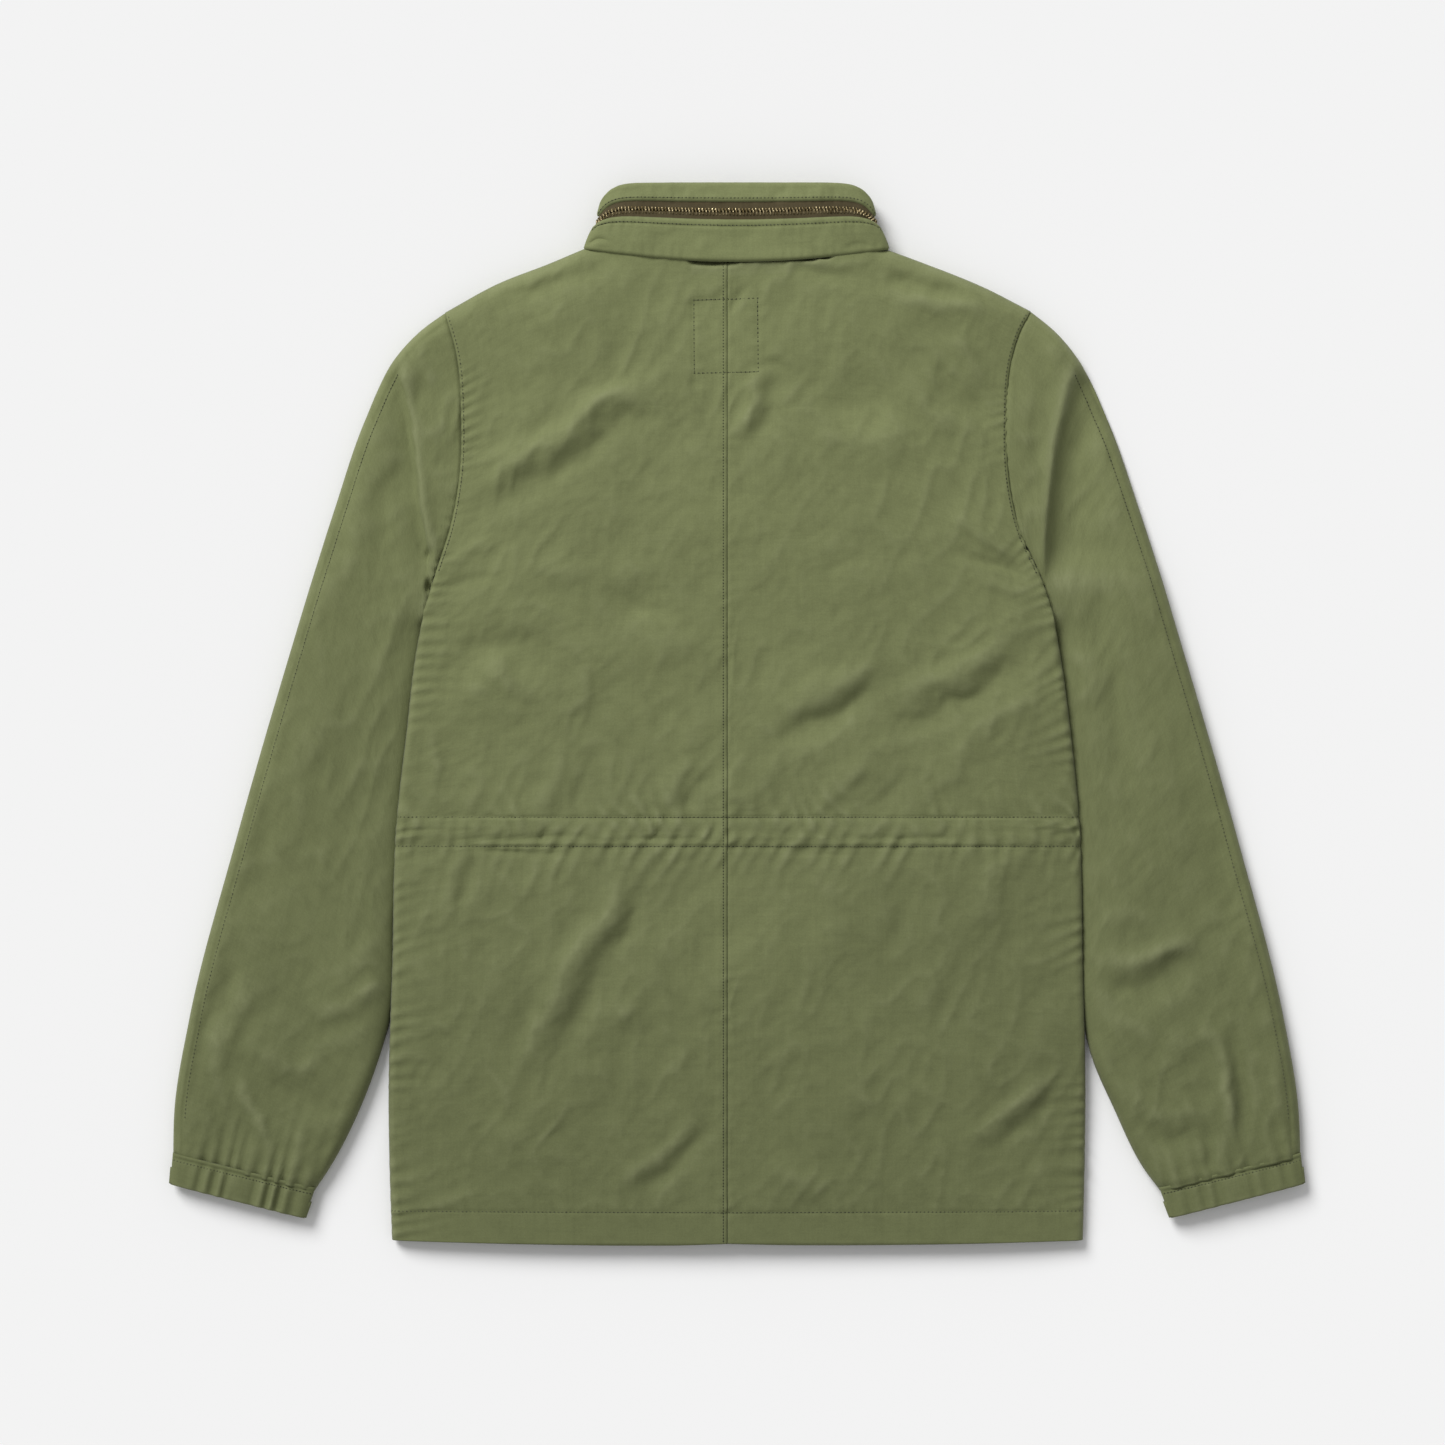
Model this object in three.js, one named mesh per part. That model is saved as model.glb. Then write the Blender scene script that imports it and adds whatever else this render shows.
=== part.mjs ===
import * as THREE from 'three';

// Field jacket laid flat with its front down. Millimetres, +Z up, +Y towards the collar.
// The wearer's right side is at +X. Garment heights (y) are counted from the collar seam.

// Body
const backLength = 738;
const chestHalf = 230;
const hemHalf = 260;
const shoulderHalf = 219;
const shoulderDrop = 40;
const armholeDepth = 216;
const armholeHollow = 17;
const cloth = 1.5;
const clearance = 0.3;
const hemDepth = 22.5;

// Heights above the floor of the laid jacket
const crownZ = 28;
const sideSeamZ = 9.3;
const armholeZ = 17;
const sideRise = 6;
const frontLift = 6;
const frontLiftHalf = 48;
const frontLiftRun = 15;
const shoulderPadDrop = 110;
const shoulderPadRun = 25;

// Waist channel and neck label
const waistDrop = 428;
const waistChannel = 22;
const elasticWidth = 16;
const elasticThickness = 1.2;
const casingReach = 0.85;
const elasticReach = 0.8;
const facingReach = 0.9;
const labelWidth = 48;
const labelHeight = 56;
const labelDrop = 29;
const loopWidth = 60;

// Collar
const neckHalf = 113;
const neckRise = 8;
const collarHeight = 57;
const collarTaper = 0.2;
const seamCurveShare = 0.45;
const collarLowZ = 5;
const collarHighZ = 26;
const innerLowZ = 9.3;
const innerHighZ = 18;
const innerThickness = 1.2;
const innerInset = 6;
const liningThickness = 1;
const loopBand = 6;
const loopRise = 8;
const loopThickness = 1;
const labelThickness = 0.6;
const collarGap = 6;
const hoodHalf = 84;
const hoodMargin = 3;

// Zips
const chainHalf = 2.8;
const postGapHalf = 0.9;
const toothHeight = 2.4;
const tapeThickness = 0.8;
const collarZipHeight = 35.8;
const zipSlotHalf = 6.5;
const collarTapeWidth = 12;
const frontTapeWidth = 17;
const frontZipMargin = 13;
const frontEdgeHalf = 8;
const sliderLength = 11;
const sliderHalf = 4.2;
const plateThickness = 1;
const zipBoxDepth = 9;
const pullLength = 32;
const pullHalf = 3;
const pullThickness = 1.2;

// Sleeve
const cuffX = 370.6;
const cuffDrop = 685.4;
const cuffSeamHalf = 54.4;
const cuffHalf = 51;
const cuffDepth = 22;
const cuffSplay = THREE.MathUtils.degToRad(14);
const cuffWall = 1.6;
const cuffZ = 16;
const cuffElasticWidth = 16;
const underSleeveFlat = 0.4;
const sleeveFlareDrop = 570;

// Flaps, pockets and snaps
const flapZ = 0.5;
const flapRise = 12;
const stormFlapWidth = 64;
const stormFlapEdge = 32;
const stormFlapOverrun = 4;
const snapRadius = 6;
const snapPostRadius = 2;
const snapBore = 2.6;
const snapFlange = 1.1;
const snapInset = 10;
const stormSnapCount = 4;
const stormSnapFoot = 50;
const stormSnapHead = 10;
// The front panel rises towards its edge outside this share of its half width.
const edgeShare = 0.86;
const chestPocketInner = 43;
const chestPocketMargin = 5.45;
const chestPocketOuter = edgeShare * armholeX(0.5) - chestPocketMargin;
const chestPocketWidth = chestPocketOuter - chestPocketInner;
const chestPocketX = (chestPocketOuter + chestPocketInner) / 2;
const chestPocket = { name: 'chest_pocket', x: chestPocketX, top: -150, width: chestPocketWidth, height: 165 };
const waistPocket = { name: 'waist_pocket', x: 140, top: -470, width: 186, height: 215 };
const pockets = [
  { ...chestPocket, flapDrop: 58, topDepth: 6 },
  { ...waistPocket, flapDrop: 72, topDepth: 6 },
];
const pocketThickness = 1.4;
const pocketInset = 6;

const lowestY = -backLength;
const underarmY = -shoulderDrop - armholeDepth;
const midY = (collarHeight - backLength) / 2;

const olive = { color: 0x6f7a50, roughness: 0.9, metalness: 0 };
const lining = { color: 0x5c6342, roughness: 0.95, metalness: 0 };
const tapeCloth = { color: 0x5a5030, roughness: 0.9, metalness: 0 };
const brass = { color: 0xa08a52, roughness: 0.4, metalness: 0.9 };
const elastic = { color: 0xd8d2bd, roughness: 0.95, metalness: 0 };
const labelCloth = { color: 0x2c2e28, roughness: 0.9, metalness: 0 };

const jacket = new THREE.Group();
jacket.position.y = -midY;

function addMesh(name, geometry, look) {
  const mesh = new THREE.Mesh(geometry, new THREE.MeshStandardMaterial(look));
  mesh.name = name;
  jacket.add(mesh);
}

function mix(a, b, t) {
  return a + (b - a) * t;
}

function ramp(t) {
  const s = Math.min(Math.max(t, 0), 1);
  return s * s * (3 - 2 * s);
}

function signedVolume(position, index) {
  const a = new THREE.Vector3();
  const b = new THREE.Vector3();
  const c = new THREE.Vector3();
  let volume = 0;
  for (let i = 0; i < index.length; i += 3) {
    a.fromArray(position, 3 * index[i]);
    b.fromArray(position, 3 * index[i + 1]);
    c.fromArray(position, 3 * index[i + 2]);
    volume += a.dot(b.cross(c));
  }
  return volume;
}

function closedGeometry(position, index) {
  if (signedVolume(position, index) < 0) index.reverse();
  const geometry = new THREE.BufferGeometry();
  geometry.setAttribute('position', new THREE.Float32BufferAttribute(position, 3));
  geometry.setIndex(index);
  geometry.computeVertexNormals();
  return geometry;
}

// A closed sheet on a grid. place(i, j) gives { x, y, low, high } for column i and row j.
function sheet(columns, rows, place) {
  const position = [];
  const index = [];
  for (const side of ['high', 'low']) {
    for (let j = 0; j <= rows; j++) {
      for (let i = 0; i <= columns; i++) {
        const p = place(i / columns, j / rows);
        position.push(p.x, p.y, p[side]);
      }
    }
  }
  const layer = (columns + 1) * (rows + 1);
  const at = (i, j) => j * (columns + 1) + i;
  for (let j = 0; j < rows; j++) {
    for (let i = 0; i < columns; i++) {
      const [a, b, c, d] = [at(i, j), at(i + 1, j), at(i + 1, j + 1), at(i, j + 1)];
      index.push(a, b, c, a, c, d);
      index.push(layer + a, layer + c, layer + b, layer + a, layer + d, layer + c);
    }
  }
  const wall = (a, b) => index.push(b, a, layer + a, b, layer + a, layer + b);
  for (let i = 0; i < columns; i++) {
    wall(at(i, 0), at(i + 1, 0));
    wall(at(i + 1, rows), at(i, rows));
  }
  for (let j = 0; j < rows; j++) {
    wall(at(columns, j), at(columns, j + 1));
    wall(at(0, j + 1), at(0, j));
  }
  return closedGeometry(position, index);
}

function mirrored(geometry) {
  const copy = geometry.clone().scale(-1, 1, 1);
  return closedGeometry(Array.from(copy.attributes.position.array), Array.from(copy.index.array));
}

function addPair(name, geometry, look) {
  addMesh(`${name}_right`, geometry, look);
  addMesh(`${name}_left`, mirrored(geometry), look);
}

// ---- Body outline ----

// How far the outline stands out, and how open its edge is, at height y (0 shut, 1 armhole).
function bodyEdge(y) {
  if (y <= underarmY) {
    const t = (underarmY - y) / (backLength + underarmY);
    return { x: mix(chestHalf, hemHalf, 1 - (1 - t) ** 6), open: 0 };
  }
  const w = (y - underarmY) / armholeDepth;
  return { x: armholeX(w), open: 1 - (2 * w - 1) ** 4 };
}

function armholeX(w) {
  return mix(chestHalf, shoulderHalf, w) - armholeHollow * Math.sin(Math.PI * w);
}

// A point of the body: u runs from the middle to the edge, v from the hem to the collar seam.
const sideShare = 0.56;
const armholeShare = 0.34;
function bodyPoint(u, v, inner) {
  let y;
  let edge;
  if (v <= sideShare) {
    y = mix(lowestY, underarmY, v / sideShare);
    edge = bodyEdge(y);
  } else if (v <= sideShare + armholeShare) {
    y = mix(underarmY, -shoulderDrop, (v - sideShare) / armholeShare);
    edge = bodyEdge(y);
  } else {
    const t = (v - sideShare - armholeShare) / (1 - sideShare - armholeShare);
    y = mix(-shoulderDrop, neckRise * u * u, t);
    edge = { x: mix(shoulderHalf, neckHalf, t), open: 0 };
  }
  return { x: mix(inner, edge.x, u), y, u, open: edge.open };
}

function backTop(p) {
  const edgeZ = mix(sideSeamZ, armholeZ, p.open);
  return mix(edgeZ, crownZ, 1 - p.u ** 4);
}

function frontBottom(p) {
  const nearHem = 1 - ramp((p.y - lowestY - hemDepth) / hemDepth);
  const nearShoulder = ramp((p.y + shoulderPadDrop) / shoulderPadRun);
  const awayFromZip = ramp((Math.abs(p.x) - frontLiftHalf) / frontLiftRun);
  const low = Math.max(nearHem, nearShoulder) * awayFromZip;
  const edge = sideRise * (1 - p.open);
  return mix(frontLift * (1 - low), edge, ramp((p.u - edgeShare) / (1 - edgeShare)));
}

const bodyColumns = 9;
const bodyRows = 25;

function backPanel() {
  return sheet(bodyColumns, bodyRows, (u, v) => {
    const p = bodyPoint(u, v, clearance / 2);
    const high = backTop(p);
    return { x: p.x, y: p.y, low: high - cloth, high };
  });
}

function frontPanel() {
  return sheet(bodyColumns, bodyRows, (u, v) => {
    const p = bodyPoint(u, v, frontEdgeHalf);
    const low = frontBottom(p);
    return { x: p.x, y: p.y, low, high: low + cloth };
  });
}

// A strip across the inside of the back, hung below the cloth. Each row is a height and a drop.
function backStrip(rows, reach, thickness) {
  return sheet(16, rows.length - 1, (s, t) => {
    const [y, drop] = rows[Math.round(t * (rows.length - 1))];
    const edge = bodyEdge(y);
    const u = reach * (2 * s - 1);
    const high = backTop({ u, open: edge.open }) - cloth - drop;
    return { x: u * edge.x, y, low: high - thickness, high };
  });
}

function addBodyLinings() {
  const waistLow = -waistDrop - waistChannel / 2;
  const waistHigh = -waistDrop + waistChannel / 2;
  const room = elasticThickness + 2 * clearance;
  const seam = 2;
  addMesh('waist_casing', backStrip([
    [waistLow, clearance],
    [waistLow + seam, room],
    [waistHigh - seam, room],
    [waistHigh, clearance],
  ], casingReach, liningThickness), lining);
  const elasticLow = -waistDrop - elasticWidth / 2;
  addMesh('waist_elastic', backStrip([
    [elasticLow, clearance],
    [elasticLow + elasticWidth, clearance],
  ], elasticReach, elasticThickness), elastic);
  addMesh('hem_facing_back', backStrip([
    [lowestY, clearance],
    [lowestY + hemDepth, clearance],
  ], facingReach, liningThickness), lining);
  const labelReach = labelWidth / 2 / neckHalf;
  addMesh('neck_label', sheet(4, 2, (s, t) => {
    const x = labelWidth * (s - 0.5);
    const u = labelReach * (2 * s - 1);
    const high = backTop({ u, open: 0 }) - cloth - clearance;
    return { x, y: -labelDrop - labelHeight * t, low: high - labelThickness, high };
  }), labelCloth);
}

// ---- Collar ----

// Follows the neck seam at the foot and draws in towards the top edge.
function shapeCollar(geometry) {
  const position = geometry.attributes.position;
  for (let i = 0; i < position.count; i++) {
    const x = position.getX(i);
    const y = position.getY(i);
    const fade = Math.max(0, 1 - y / (seamCurveShare * collarHeight));
    const rise = neckRise * (x / neckHalf) ** 2 * fade;
    position.setXY(i, x * (1 - collarTaper * y / collarHeight), y + rise);
  }
  return closedGeometry(Array.from(position.array), Array.from(geometry.index.array));
}

// Half of a flattened loop as stations [outer x, outer z, inner x, inner z], front gap to middle.
const foldSteps = 8;
function halfLoop(low, high, half, thickness) {
  const radius = (high - low) / 2;
  const middle = (high + low) / 2;
  const flat = half - radius;
  const stations = [[collarGap, low, collarGap, low + thickness]];
  for (let k = 0; k <= foldSteps; k++) {
    const turn = Math.PI * k / foldSteps;
    const [c, s] = [Math.cos(turn), Math.sin(turn)];
    const inner = radius - thickness;
    stations.push([flat + radius * s, middle - radius * c, flat + inner * s, middle - inner * c]);
  }
  stations.push([flat / 2, high, flat / 2, high - thickness]);
  return stations;
}

// One open loop round the neck, laid flat: from the front gap, round both folds, to the gap.
function neckBand(low, high, half, thickness, from, to) {
  const right = halfLoop(low, high, half, thickness);
  const left = right.map(([x, z, innerX, innerZ]) => [-x, z, -innerX, innerZ]).reverse();
  return bandSolid([...right, [0, high, 0, high - thickness], ...left], from, to);
}

// Joins cross-section stations into one closed solid along y.
function bandSolid(stations, from, to) {
  const rows = 2;
  const count = stations.length - 1;
  const position = [];
  const index = [];
  for (const k of [0, 2]) {
    for (let j = 0; j <= rows; j++) {
      for (const station of stations) {
        position.push(station[k], mix(from, to, j / rows), station[k + 1]);
      }
    }
  }
  const layer = (count + 1) * (rows + 1);
  const at = (i, j) => j * (count + 1) + i;
  const quad = (a, b, c, d) => index.push(a, b, c, a, c, d);
  for (let j = 0; j < rows; j++) {
    for (let i = 0; i < count; i++) {
      quad(at(i, j), at(i + 1, j), at(i + 1, j + 1), at(i, j + 1));
      quad(layer + at(i, j), layer + at(i, j + 1), layer + at(i + 1, j + 1), layer + at(i + 1, j));
    }
    quad(at(0, j), at(0, j + 1), layer + at(0, j + 1), layer + at(0, j));
    quad(at(count, j + 1), at(count, j), layer + at(count, j), layer + at(count, j + 1));
  }
  for (let i = 0; i < count; i++) {
    quad(at(i + 1, 0), at(i, 0), layer + at(i, 0), layer + at(i + 1, 0));
    quad(at(i, rows), at(i + 1, rows), layer + at(i + 1, rows), layer + at(i, rows));
  }
  return closedGeometry(position, index);
}

function addNeckBand(name, low, high, half, thickness, from, to, look) {
  addMesh(name, shapeCollar(neckBand(low, high, half, thickness, from, to)), look);
}

const slotLow = collarZipHeight - zipSlotHalf;
const slotHigh = collarZipHeight + zipSlotHalf;
const toothMid = collarLowZ + tapeThickness;

function addCollar() {
  const tapeInset = cloth + clearance;
  const tapeLow = collarLowZ + tapeInset;
  const tapeHigh = collarHighZ - tapeInset;
  const tapeEnd = collarZipHeight - chainHalf - clearance;
  const tapeStart = collarZipHeight + chainHalf + clearance;
  const outer = [collarLowZ, collarHighZ, neckHalf, cloth];
  addNeckBand('collar_lower_band', ...outer, clearance, slotLow, olive);
  addNeckBand('collar_upper_band', ...outer, slotHigh, collarHeight, olive);
  const tape = [tapeLow, tapeHigh, neckHalf - tapeInset, tapeThickness];
  addNeckBand('collar_zip_tape_lower', ...tape, tapeEnd - collarTapeWidth, tapeEnd, tapeCloth);
  addNeckBand('collar_zip_tape_upper', ...tape, tapeStart, tapeStart + collarTapeWidth, tapeCloth);
  const teethLow = toothMid - toothHeight / 2;
  const teethHigh = collarHighZ + collarLowZ - teethLow;
  const teeth = [teethLow, teethHigh, neckHalf + collarLowZ - teethLow, toothHeight];
  addNeckBand('collar_zip_teeth_lower', ...teeth,
    collarZipHeight - chainHalf, collarZipHeight - postGapHalf, brass);
  addNeckBand('collar_zip_teeth_upper', ...teeth,
    collarZipHeight + postGapHalf, collarZipHeight + chainHalf, brass);
  addNeckBand('collar_inner_band', innerLowZ, innerHighZ, neckHalf - innerInset, innerThickness,
    clearance, collarHeight - liningThickness, lining);
  addHoodAndLoop();
}

// The hood is rolled flat inside the collar; the loop hangs the jacket from the inner band.
function addHoodAndLoop() {
  const hoodLow = innerHighZ + clearance;
  const hoodHigh = collarHighZ - cloth - 2 * clearance - tapeThickness;
  const middle = (hoodLow + hoodHigh) / 2;
  const radius = (hoodHigh - hoodLow) / 2;
  const roll = new THREE.Shape();
  roll.absarc(neckRise + clearance + radius, middle, radius, Math.PI / 2, 3 * Math.PI / 2);
  roll.absarc(collarHeight - hoodMargin - radius, middle, radius, -Math.PI / 2, Math.PI / 2);
  const hood = extruded(roll, 2 * hoodHalf);
  hood.rotateY(Math.PI / 2).rotateX(Math.PI / 2).translate(-hoodHalf, 0, 0);
  addMesh('stowed_hood', plainSolid(hood), lining);
  const loopZ = innerHighZ - innerThickness - clearance - loopThickness / 2;
  const loop = new THREE.BoxGeometry(loopWidth, loopBand, loopThickness).translate(0, loopRise, loopZ);
  addMesh('hanger_loop', plainSolid(loop), olive);
}

function extruded(shape, depth) {
  return new THREE.ExtrudeGeometry(shape, { depth, bevelEnabled: false, curveSegments: 6 });
}

function plainSolid(geometry) {
  const flat = geometry.index ? geometry.toNonIndexed() : geometry;
  const position = Array.from(flat.attributes.position.array);
  return closedGeometry(position, Array.from({ length: position.length / 3 }, (_, k) => k));
}

// ---- Zips ----

// Two plates joined by the post that runs between the rows of teeth; it slides along y.
function sliderShape(low, high) {
  const half = sliderHalf;
  const post = postGapHalf - clearance;
  const shape = new THREE.Shape();
  shape.moveTo(-half, low - plateThickness);
  shape.lineTo(half, low - plateThickness);
  shape.lineTo(half, low);
  shape.lineTo(post, low);
  shape.lineTo(post, high);
  shape.lineTo(half, high);
  shape.lineTo(half, high + plateThickness);
  shape.lineTo(-half, high + plateThickness);
  shape.lineTo(-half, high);
  shape.lineTo(-post, high);
  shape.lineTo(-post, low);
  shape.lineTo(-half, low);
  shape.closePath();
  return shape;
}

function slider(low, high) {
  const body = extruded(sliderShape(low, high), sliderLength);
  return body.rotateX(Math.PI / 2).translate(0, sliderLength / 2, 0);
}

// A flat tab hung by its upper end, which lies at the origin.
function pullTab(top) {
  const tab = new THREE.Shape();
  tab.moveTo(-pullHalf, pullThickness / 2);
  tab.lineTo(-pullHalf, pullHalf - pullLength);
  tab.absarc(0, pullHalf - pullLength, pullHalf, Math.PI, 2 * Math.PI);
  tab.lineTo(pullHalf, pullThickness / 2);
  tab.closePath();
  const solid = extruded(tab, pullThickness);
  return solid.translate(0, 0, top - pullThickness);
}

const frontChainZ = frontLift + cloth + clearance + tapeThickness / 2;
const frontZipFoot = lowestY + frontZipMargin;
const frontZipHead = -6;
const frontSliderDrop = 19.5;
const collarSliderX = collarGap + sliderLength;

function addFrontZip() {
  const length = frontZipHead - frontZipFoot;
  const middle = (frontZipHead + frontZipFoot) / 2;
  const tape = new THREE.BoxGeometry(frontTapeWidth, length, tapeThickness);
  tape.translate(chainHalf + clearance + frontTapeWidth / 2, middle, frontChainZ);
  addPair('front_zip_tape', plainSolid(tape), tapeCloth);
  const rowWidth = chainHalf - postGapHalf;
  const teeth = new THREE.BoxGeometry(rowWidth, length, toothHeight);
  teeth.translate(postGapHalf + rowWidth / 2, middle, frontChainZ);
  addPair('front_zip_teeth', plainSolid(teeth), brass);
  const box = new THREE.BoxGeometry(2 * sliderHalf, zipBoxDepth, toothHeight);
  box.translate(0, frontZipFoot - clearance - zipBoxDepth / 2, frontChainZ);
  addMesh('front_zip_box', plainSolid(box), brass);
  const low = frontChainZ - toothHeight / 2 - clearance;
  const high = frontChainZ + toothHeight / 2 + clearance;
  addMesh('front_zip_slider', plainSolid(slider(low, high).translate(0, -frontSliderDrop, 0)), brass);
  const tabTop = low - plateThickness - clearance;
  addMesh('front_zip_pull', plainSolid(pullTab(tabTop).translate(0, -frontSliderDrop, 0)), brass);
}

function addCollarSlider() {
  const low = toothMid - toothHeight / 2 - clearance;
  const high = collarLowZ + cloth + 2 * clearance + tapeThickness;
  const body = slider(low, high).rotateZ(-Math.PI / 2).translate(collarSliderX, collarZipHeight, 0);
  addMesh('collar_zip_slider', plainSolid(body), brass);
  const tabTop = low - plateThickness - clearance;
  const tab = pullTab(tabTop).rotateZ(Math.PI / 2).translate(collarSliderX, collarZipHeight, 0);
  addMesh('collar_zip_pull', plainSolid(tab), brass);
}

// ---- Sleeves ----

const along = new THREE.Vector2(Math.sin(cuffSplay), -Math.cos(cuffSplay));
const across = new THREE.Vector2(Math.cos(cuffSplay), Math.sin(cuffSplay));
const cuffSeam = new THREE.Vector2(cuffX, -cuffDrop);
const cuffOuter = cuffSeam.clone().addScaledVector(across, cuffSeamHalf);
const cuffInner = cuffSeam.clone().addScaledVector(across, -cuffSeamHalf);
const shoulderTip = new THREE.Vector2(shoulderHalf + clearance, -shoulderDrop);
const sleeveSpan = new THREE.Vector2().subVectors(cuffOuter, shoulderTip);
const outerEdge = new THREE.CubicBezierCurve(
  shoulderTip,
  new THREE.Vector2(0.36, 0.055).multiply(sleeveSpan).add(shoulderTip),
  new THREE.Vector2(0.58, 0.42).multiply(sleeveSpan).add(shoulderTip),
  cuffOuter,
);

function innerEdge(v) {
  const y = mix(underarmY, cuffInner.y, v);
  const beside = bodyEdge(Math.min(y, underarmY)).x + 2 * clearance;
  const flare = Math.max(0, (-sleeveFlareDrop - y) / (-sleeveFlareDrop - cuffInner.y)) ** 1.25;
  return new THREE.Vector2(mix(beside, cuffInner.x, flare), y);
}

// Coons patch between the armhole, the two sleeve edges and the cuff seam.
function sleevePoint(u, v) {
  const inner = innerEdge(v);
  const outer = outerEdge.getPoint(v);
  const start = new THREE.Vector2(armholeX(u) + 2 * clearance, mix(underarmY, -shoulderDrop, u));
  const end = cuffInner.clone().lerp(cuffOuter, u);
  const corner = (a, b) => mix(mix(a[0], a[1], u), mix(b[0], b[1], u), v);
  const first = innerEdge(0);
  const last = innerEdge(1);
  const x = mix(inner.x, outer.x, u) + mix(start.x, end.x, v)
    - corner([first.x, shoulderTip.x], [last.x, cuffOuter.x]);
  const y = mix(inner.y, outer.y, u) + mix(start.y, end.y, v)
    - corner([first.y, shoulderTip.y], [last.y, cuffOuter.y]);
  return { x, y };
}

const sleeveColumns = 8;
const sleeveRows = 14;

function sleeveTop() {
  return sheet(sleeveColumns, sleeveRows, (u, v) => {
    const round = 1 - (2 * u - 1) ** 4;
    const high = mix(sideSeamZ, mix(armholeZ, cuffZ, v), round);
    return { ...sleevePoint(u, v), low: high - cloth, high };
  });
}

function sleeveUnder() {
  return sheet(sleeveColumns, sleeveRows, (u, v) => {
    const bend = Math.max(0, Math.abs(2 * u - 1) - underSleeveFlat) / (1 - underSleeveFlat);
    const low = sideRise * bend ** 4;
    return { ...sleevePoint(u, v), low, high: low + cloth };
  });
}

// A flattened ring whose hole runs along the sleeve.
function cuffRing(half, lowZ, highZ, wall, depth, start) {
  const outerR = (highZ - lowZ) / 2;
  const flat = half - outerR;
  const stadium = (path, r) => {
    path.absarc(flat, (lowZ + highZ) / 2, r, -Math.PI / 2, Math.PI / 2);
    path.absarc(-flat, (lowZ + highZ) / 2, r, Math.PI / 2, 3 * Math.PI / 2);
    return path;
  };
  const ring = stadium(new THREE.Shape(), outerR);
  ring.holes.push(stadium(new THREE.Path(), outerR - wall));
  const solid = extruded(ring, depth);
  solid.rotateX(Math.PI / 2).rotateZ(cuffSplay);
  const foot = cuffSeam.clone().addScaledVector(along, start);
  return plainSolid(solid.translate(foot.x, foot.y, 0));
}

function addSleeves() {
  addPair('sleeve_top', sleeveTop(), olive);
  addPair('sleeve_under', sleeveUnder(), olive);
  addPair('cuff', cuffRing(cuffHalf, 0, cuffZ, cuffWall, cuffDepth, 2 * clearance), olive);
  const inset = cuffWall + clearance;
  const start = (cuffDepth - cuffElasticWidth) / 2 + 2 * clearance;
  addPair('cuff_elastic', cuffRing(cuffHalf - inset, inset, cuffZ - inset, elasticThickness,
    cuffElasticWidth, start), elastic);
}

// ---- Flaps, pockets and snaps ----

// A flap in its own frame: sewn edge at s = 0, free edge at s = width, from t = 0 to length.
function flap(width, length, toPoint) {
  const steps = [0, 0.25, 0.5, 0.75, 1].map((k) => k * flapRise).concat([width]);
  return sheet(1, steps.length - 1, (t, row) => {
    const s = steps[Math.round(row * (steps.length - 1))];
    const low = mix(frontLift - clearance - cloth, flapZ, ramp(s / flapRise));
    return { ...toPoint(s, t * length), low, high: low + cloth };
  });
}

function addSnap(name, x, y) {
  const flapTop = flapZ + cloth;
  const ringLow = flapTop + clearance;
  const flangeLow = frontLift - clearance - snapFlange;
  const ring = new THREE.LatheGeometry([
    new THREE.Vector2(snapBore, ringLow),
    new THREE.Vector2(snapRadius, ringLow),
    new THREE.Vector2(snapRadius, flangeLow - clearance),
    new THREE.Vector2(snapBore, flangeLow - clearance),
    new THREE.Vector2(snapBore, ringLow),
  ], 12);
  const stud = new THREE.LatheGeometry([
    new THREE.Vector2(0, ringLow + clearance),
    new THREE.Vector2(snapPostRadius, ringLow + clearance),
    new THREE.Vector2(snapPostRadius, flangeLow),
    new THREE.Vector2(snapRadius, flangeLow),
    new THREE.Vector2(snapRadius, frontLift - clearance),
    new THREE.Vector2(0, frontLift - clearance),
  ], 12);
  for (const [part, geometry] of [['socket', ring], ['stud', stud]]) {
    addMesh(`${name}_${part}`, plainSolid(geometry.rotateX(Math.PI / 2).translate(x, y, 0)), brass);
  }
}

function addStormFlap() {
  const foot = frontZipFoot - stormFlapOverrun;
  const length = frontZipHead - stormFlapOverrun / 2 - foot;
  const place = (s, t) => ({ x: s - stormFlapEdge, y: foot + t });
  addMesh('storm_flap', flap(stormFlapWidth, length, place), olive);
  const snapX = stormFlapWidth - stormFlapEdge - snapInset;
  const spacing = (length - stormSnapFoot - stormSnapHead) / (stormSnapCount - 1);
  for (let k = 0; k < stormSnapCount; k++) {
    addSnap(`storm_snap_${k + 1}`, snapX, foot + stormSnapFoot + k * spacing);
  }
}

function addPocket(pocket, side, sideName) {
  const name = `${pocket.name}_${sideName}`;
  const x = side * pocket.x;
  const bag = new THREE.BoxGeometry(pocket.width - 2 * pocketInset, pocket.height, pocketThickness);
  const bagZ = frontLift + cloth + clearance + pocketThickness / 2;
  bag.translate(x, pocket.top - pocket.height / 2, bagZ);
  addMesh(name, plainSolid(bag), lining);
  const half = pocket.width / 2;
  const place = (s, t) => ({ x: x - half + t, y: pocket.top - pocket.topDepth - s });
  addMesh(`${name}_flap`, flap(pocket.flapDrop, pocket.width, place), olive);
  addSnap(`${name}_snap`, x, pocket.top - pocket.topDepth - pocket.flapDrop + snapInset);
}

addPair('back_panel', backPanel(), olive);
addPair('front_panel', frontPanel(), olive);
addBodyLinings();
addCollar();
addFrontZip();
addCollarSlider();
addSleeves();
addStormFlap();
for (const pocket of pockets) {
  addPocket(pocket, 1, 'right');
  addPocket(pocket, -1, 'left');
}

export default jacket;
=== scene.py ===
import math
import bpy
import numpy as np
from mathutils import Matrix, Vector
from mathutils.bvhtree import BVHTree


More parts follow.
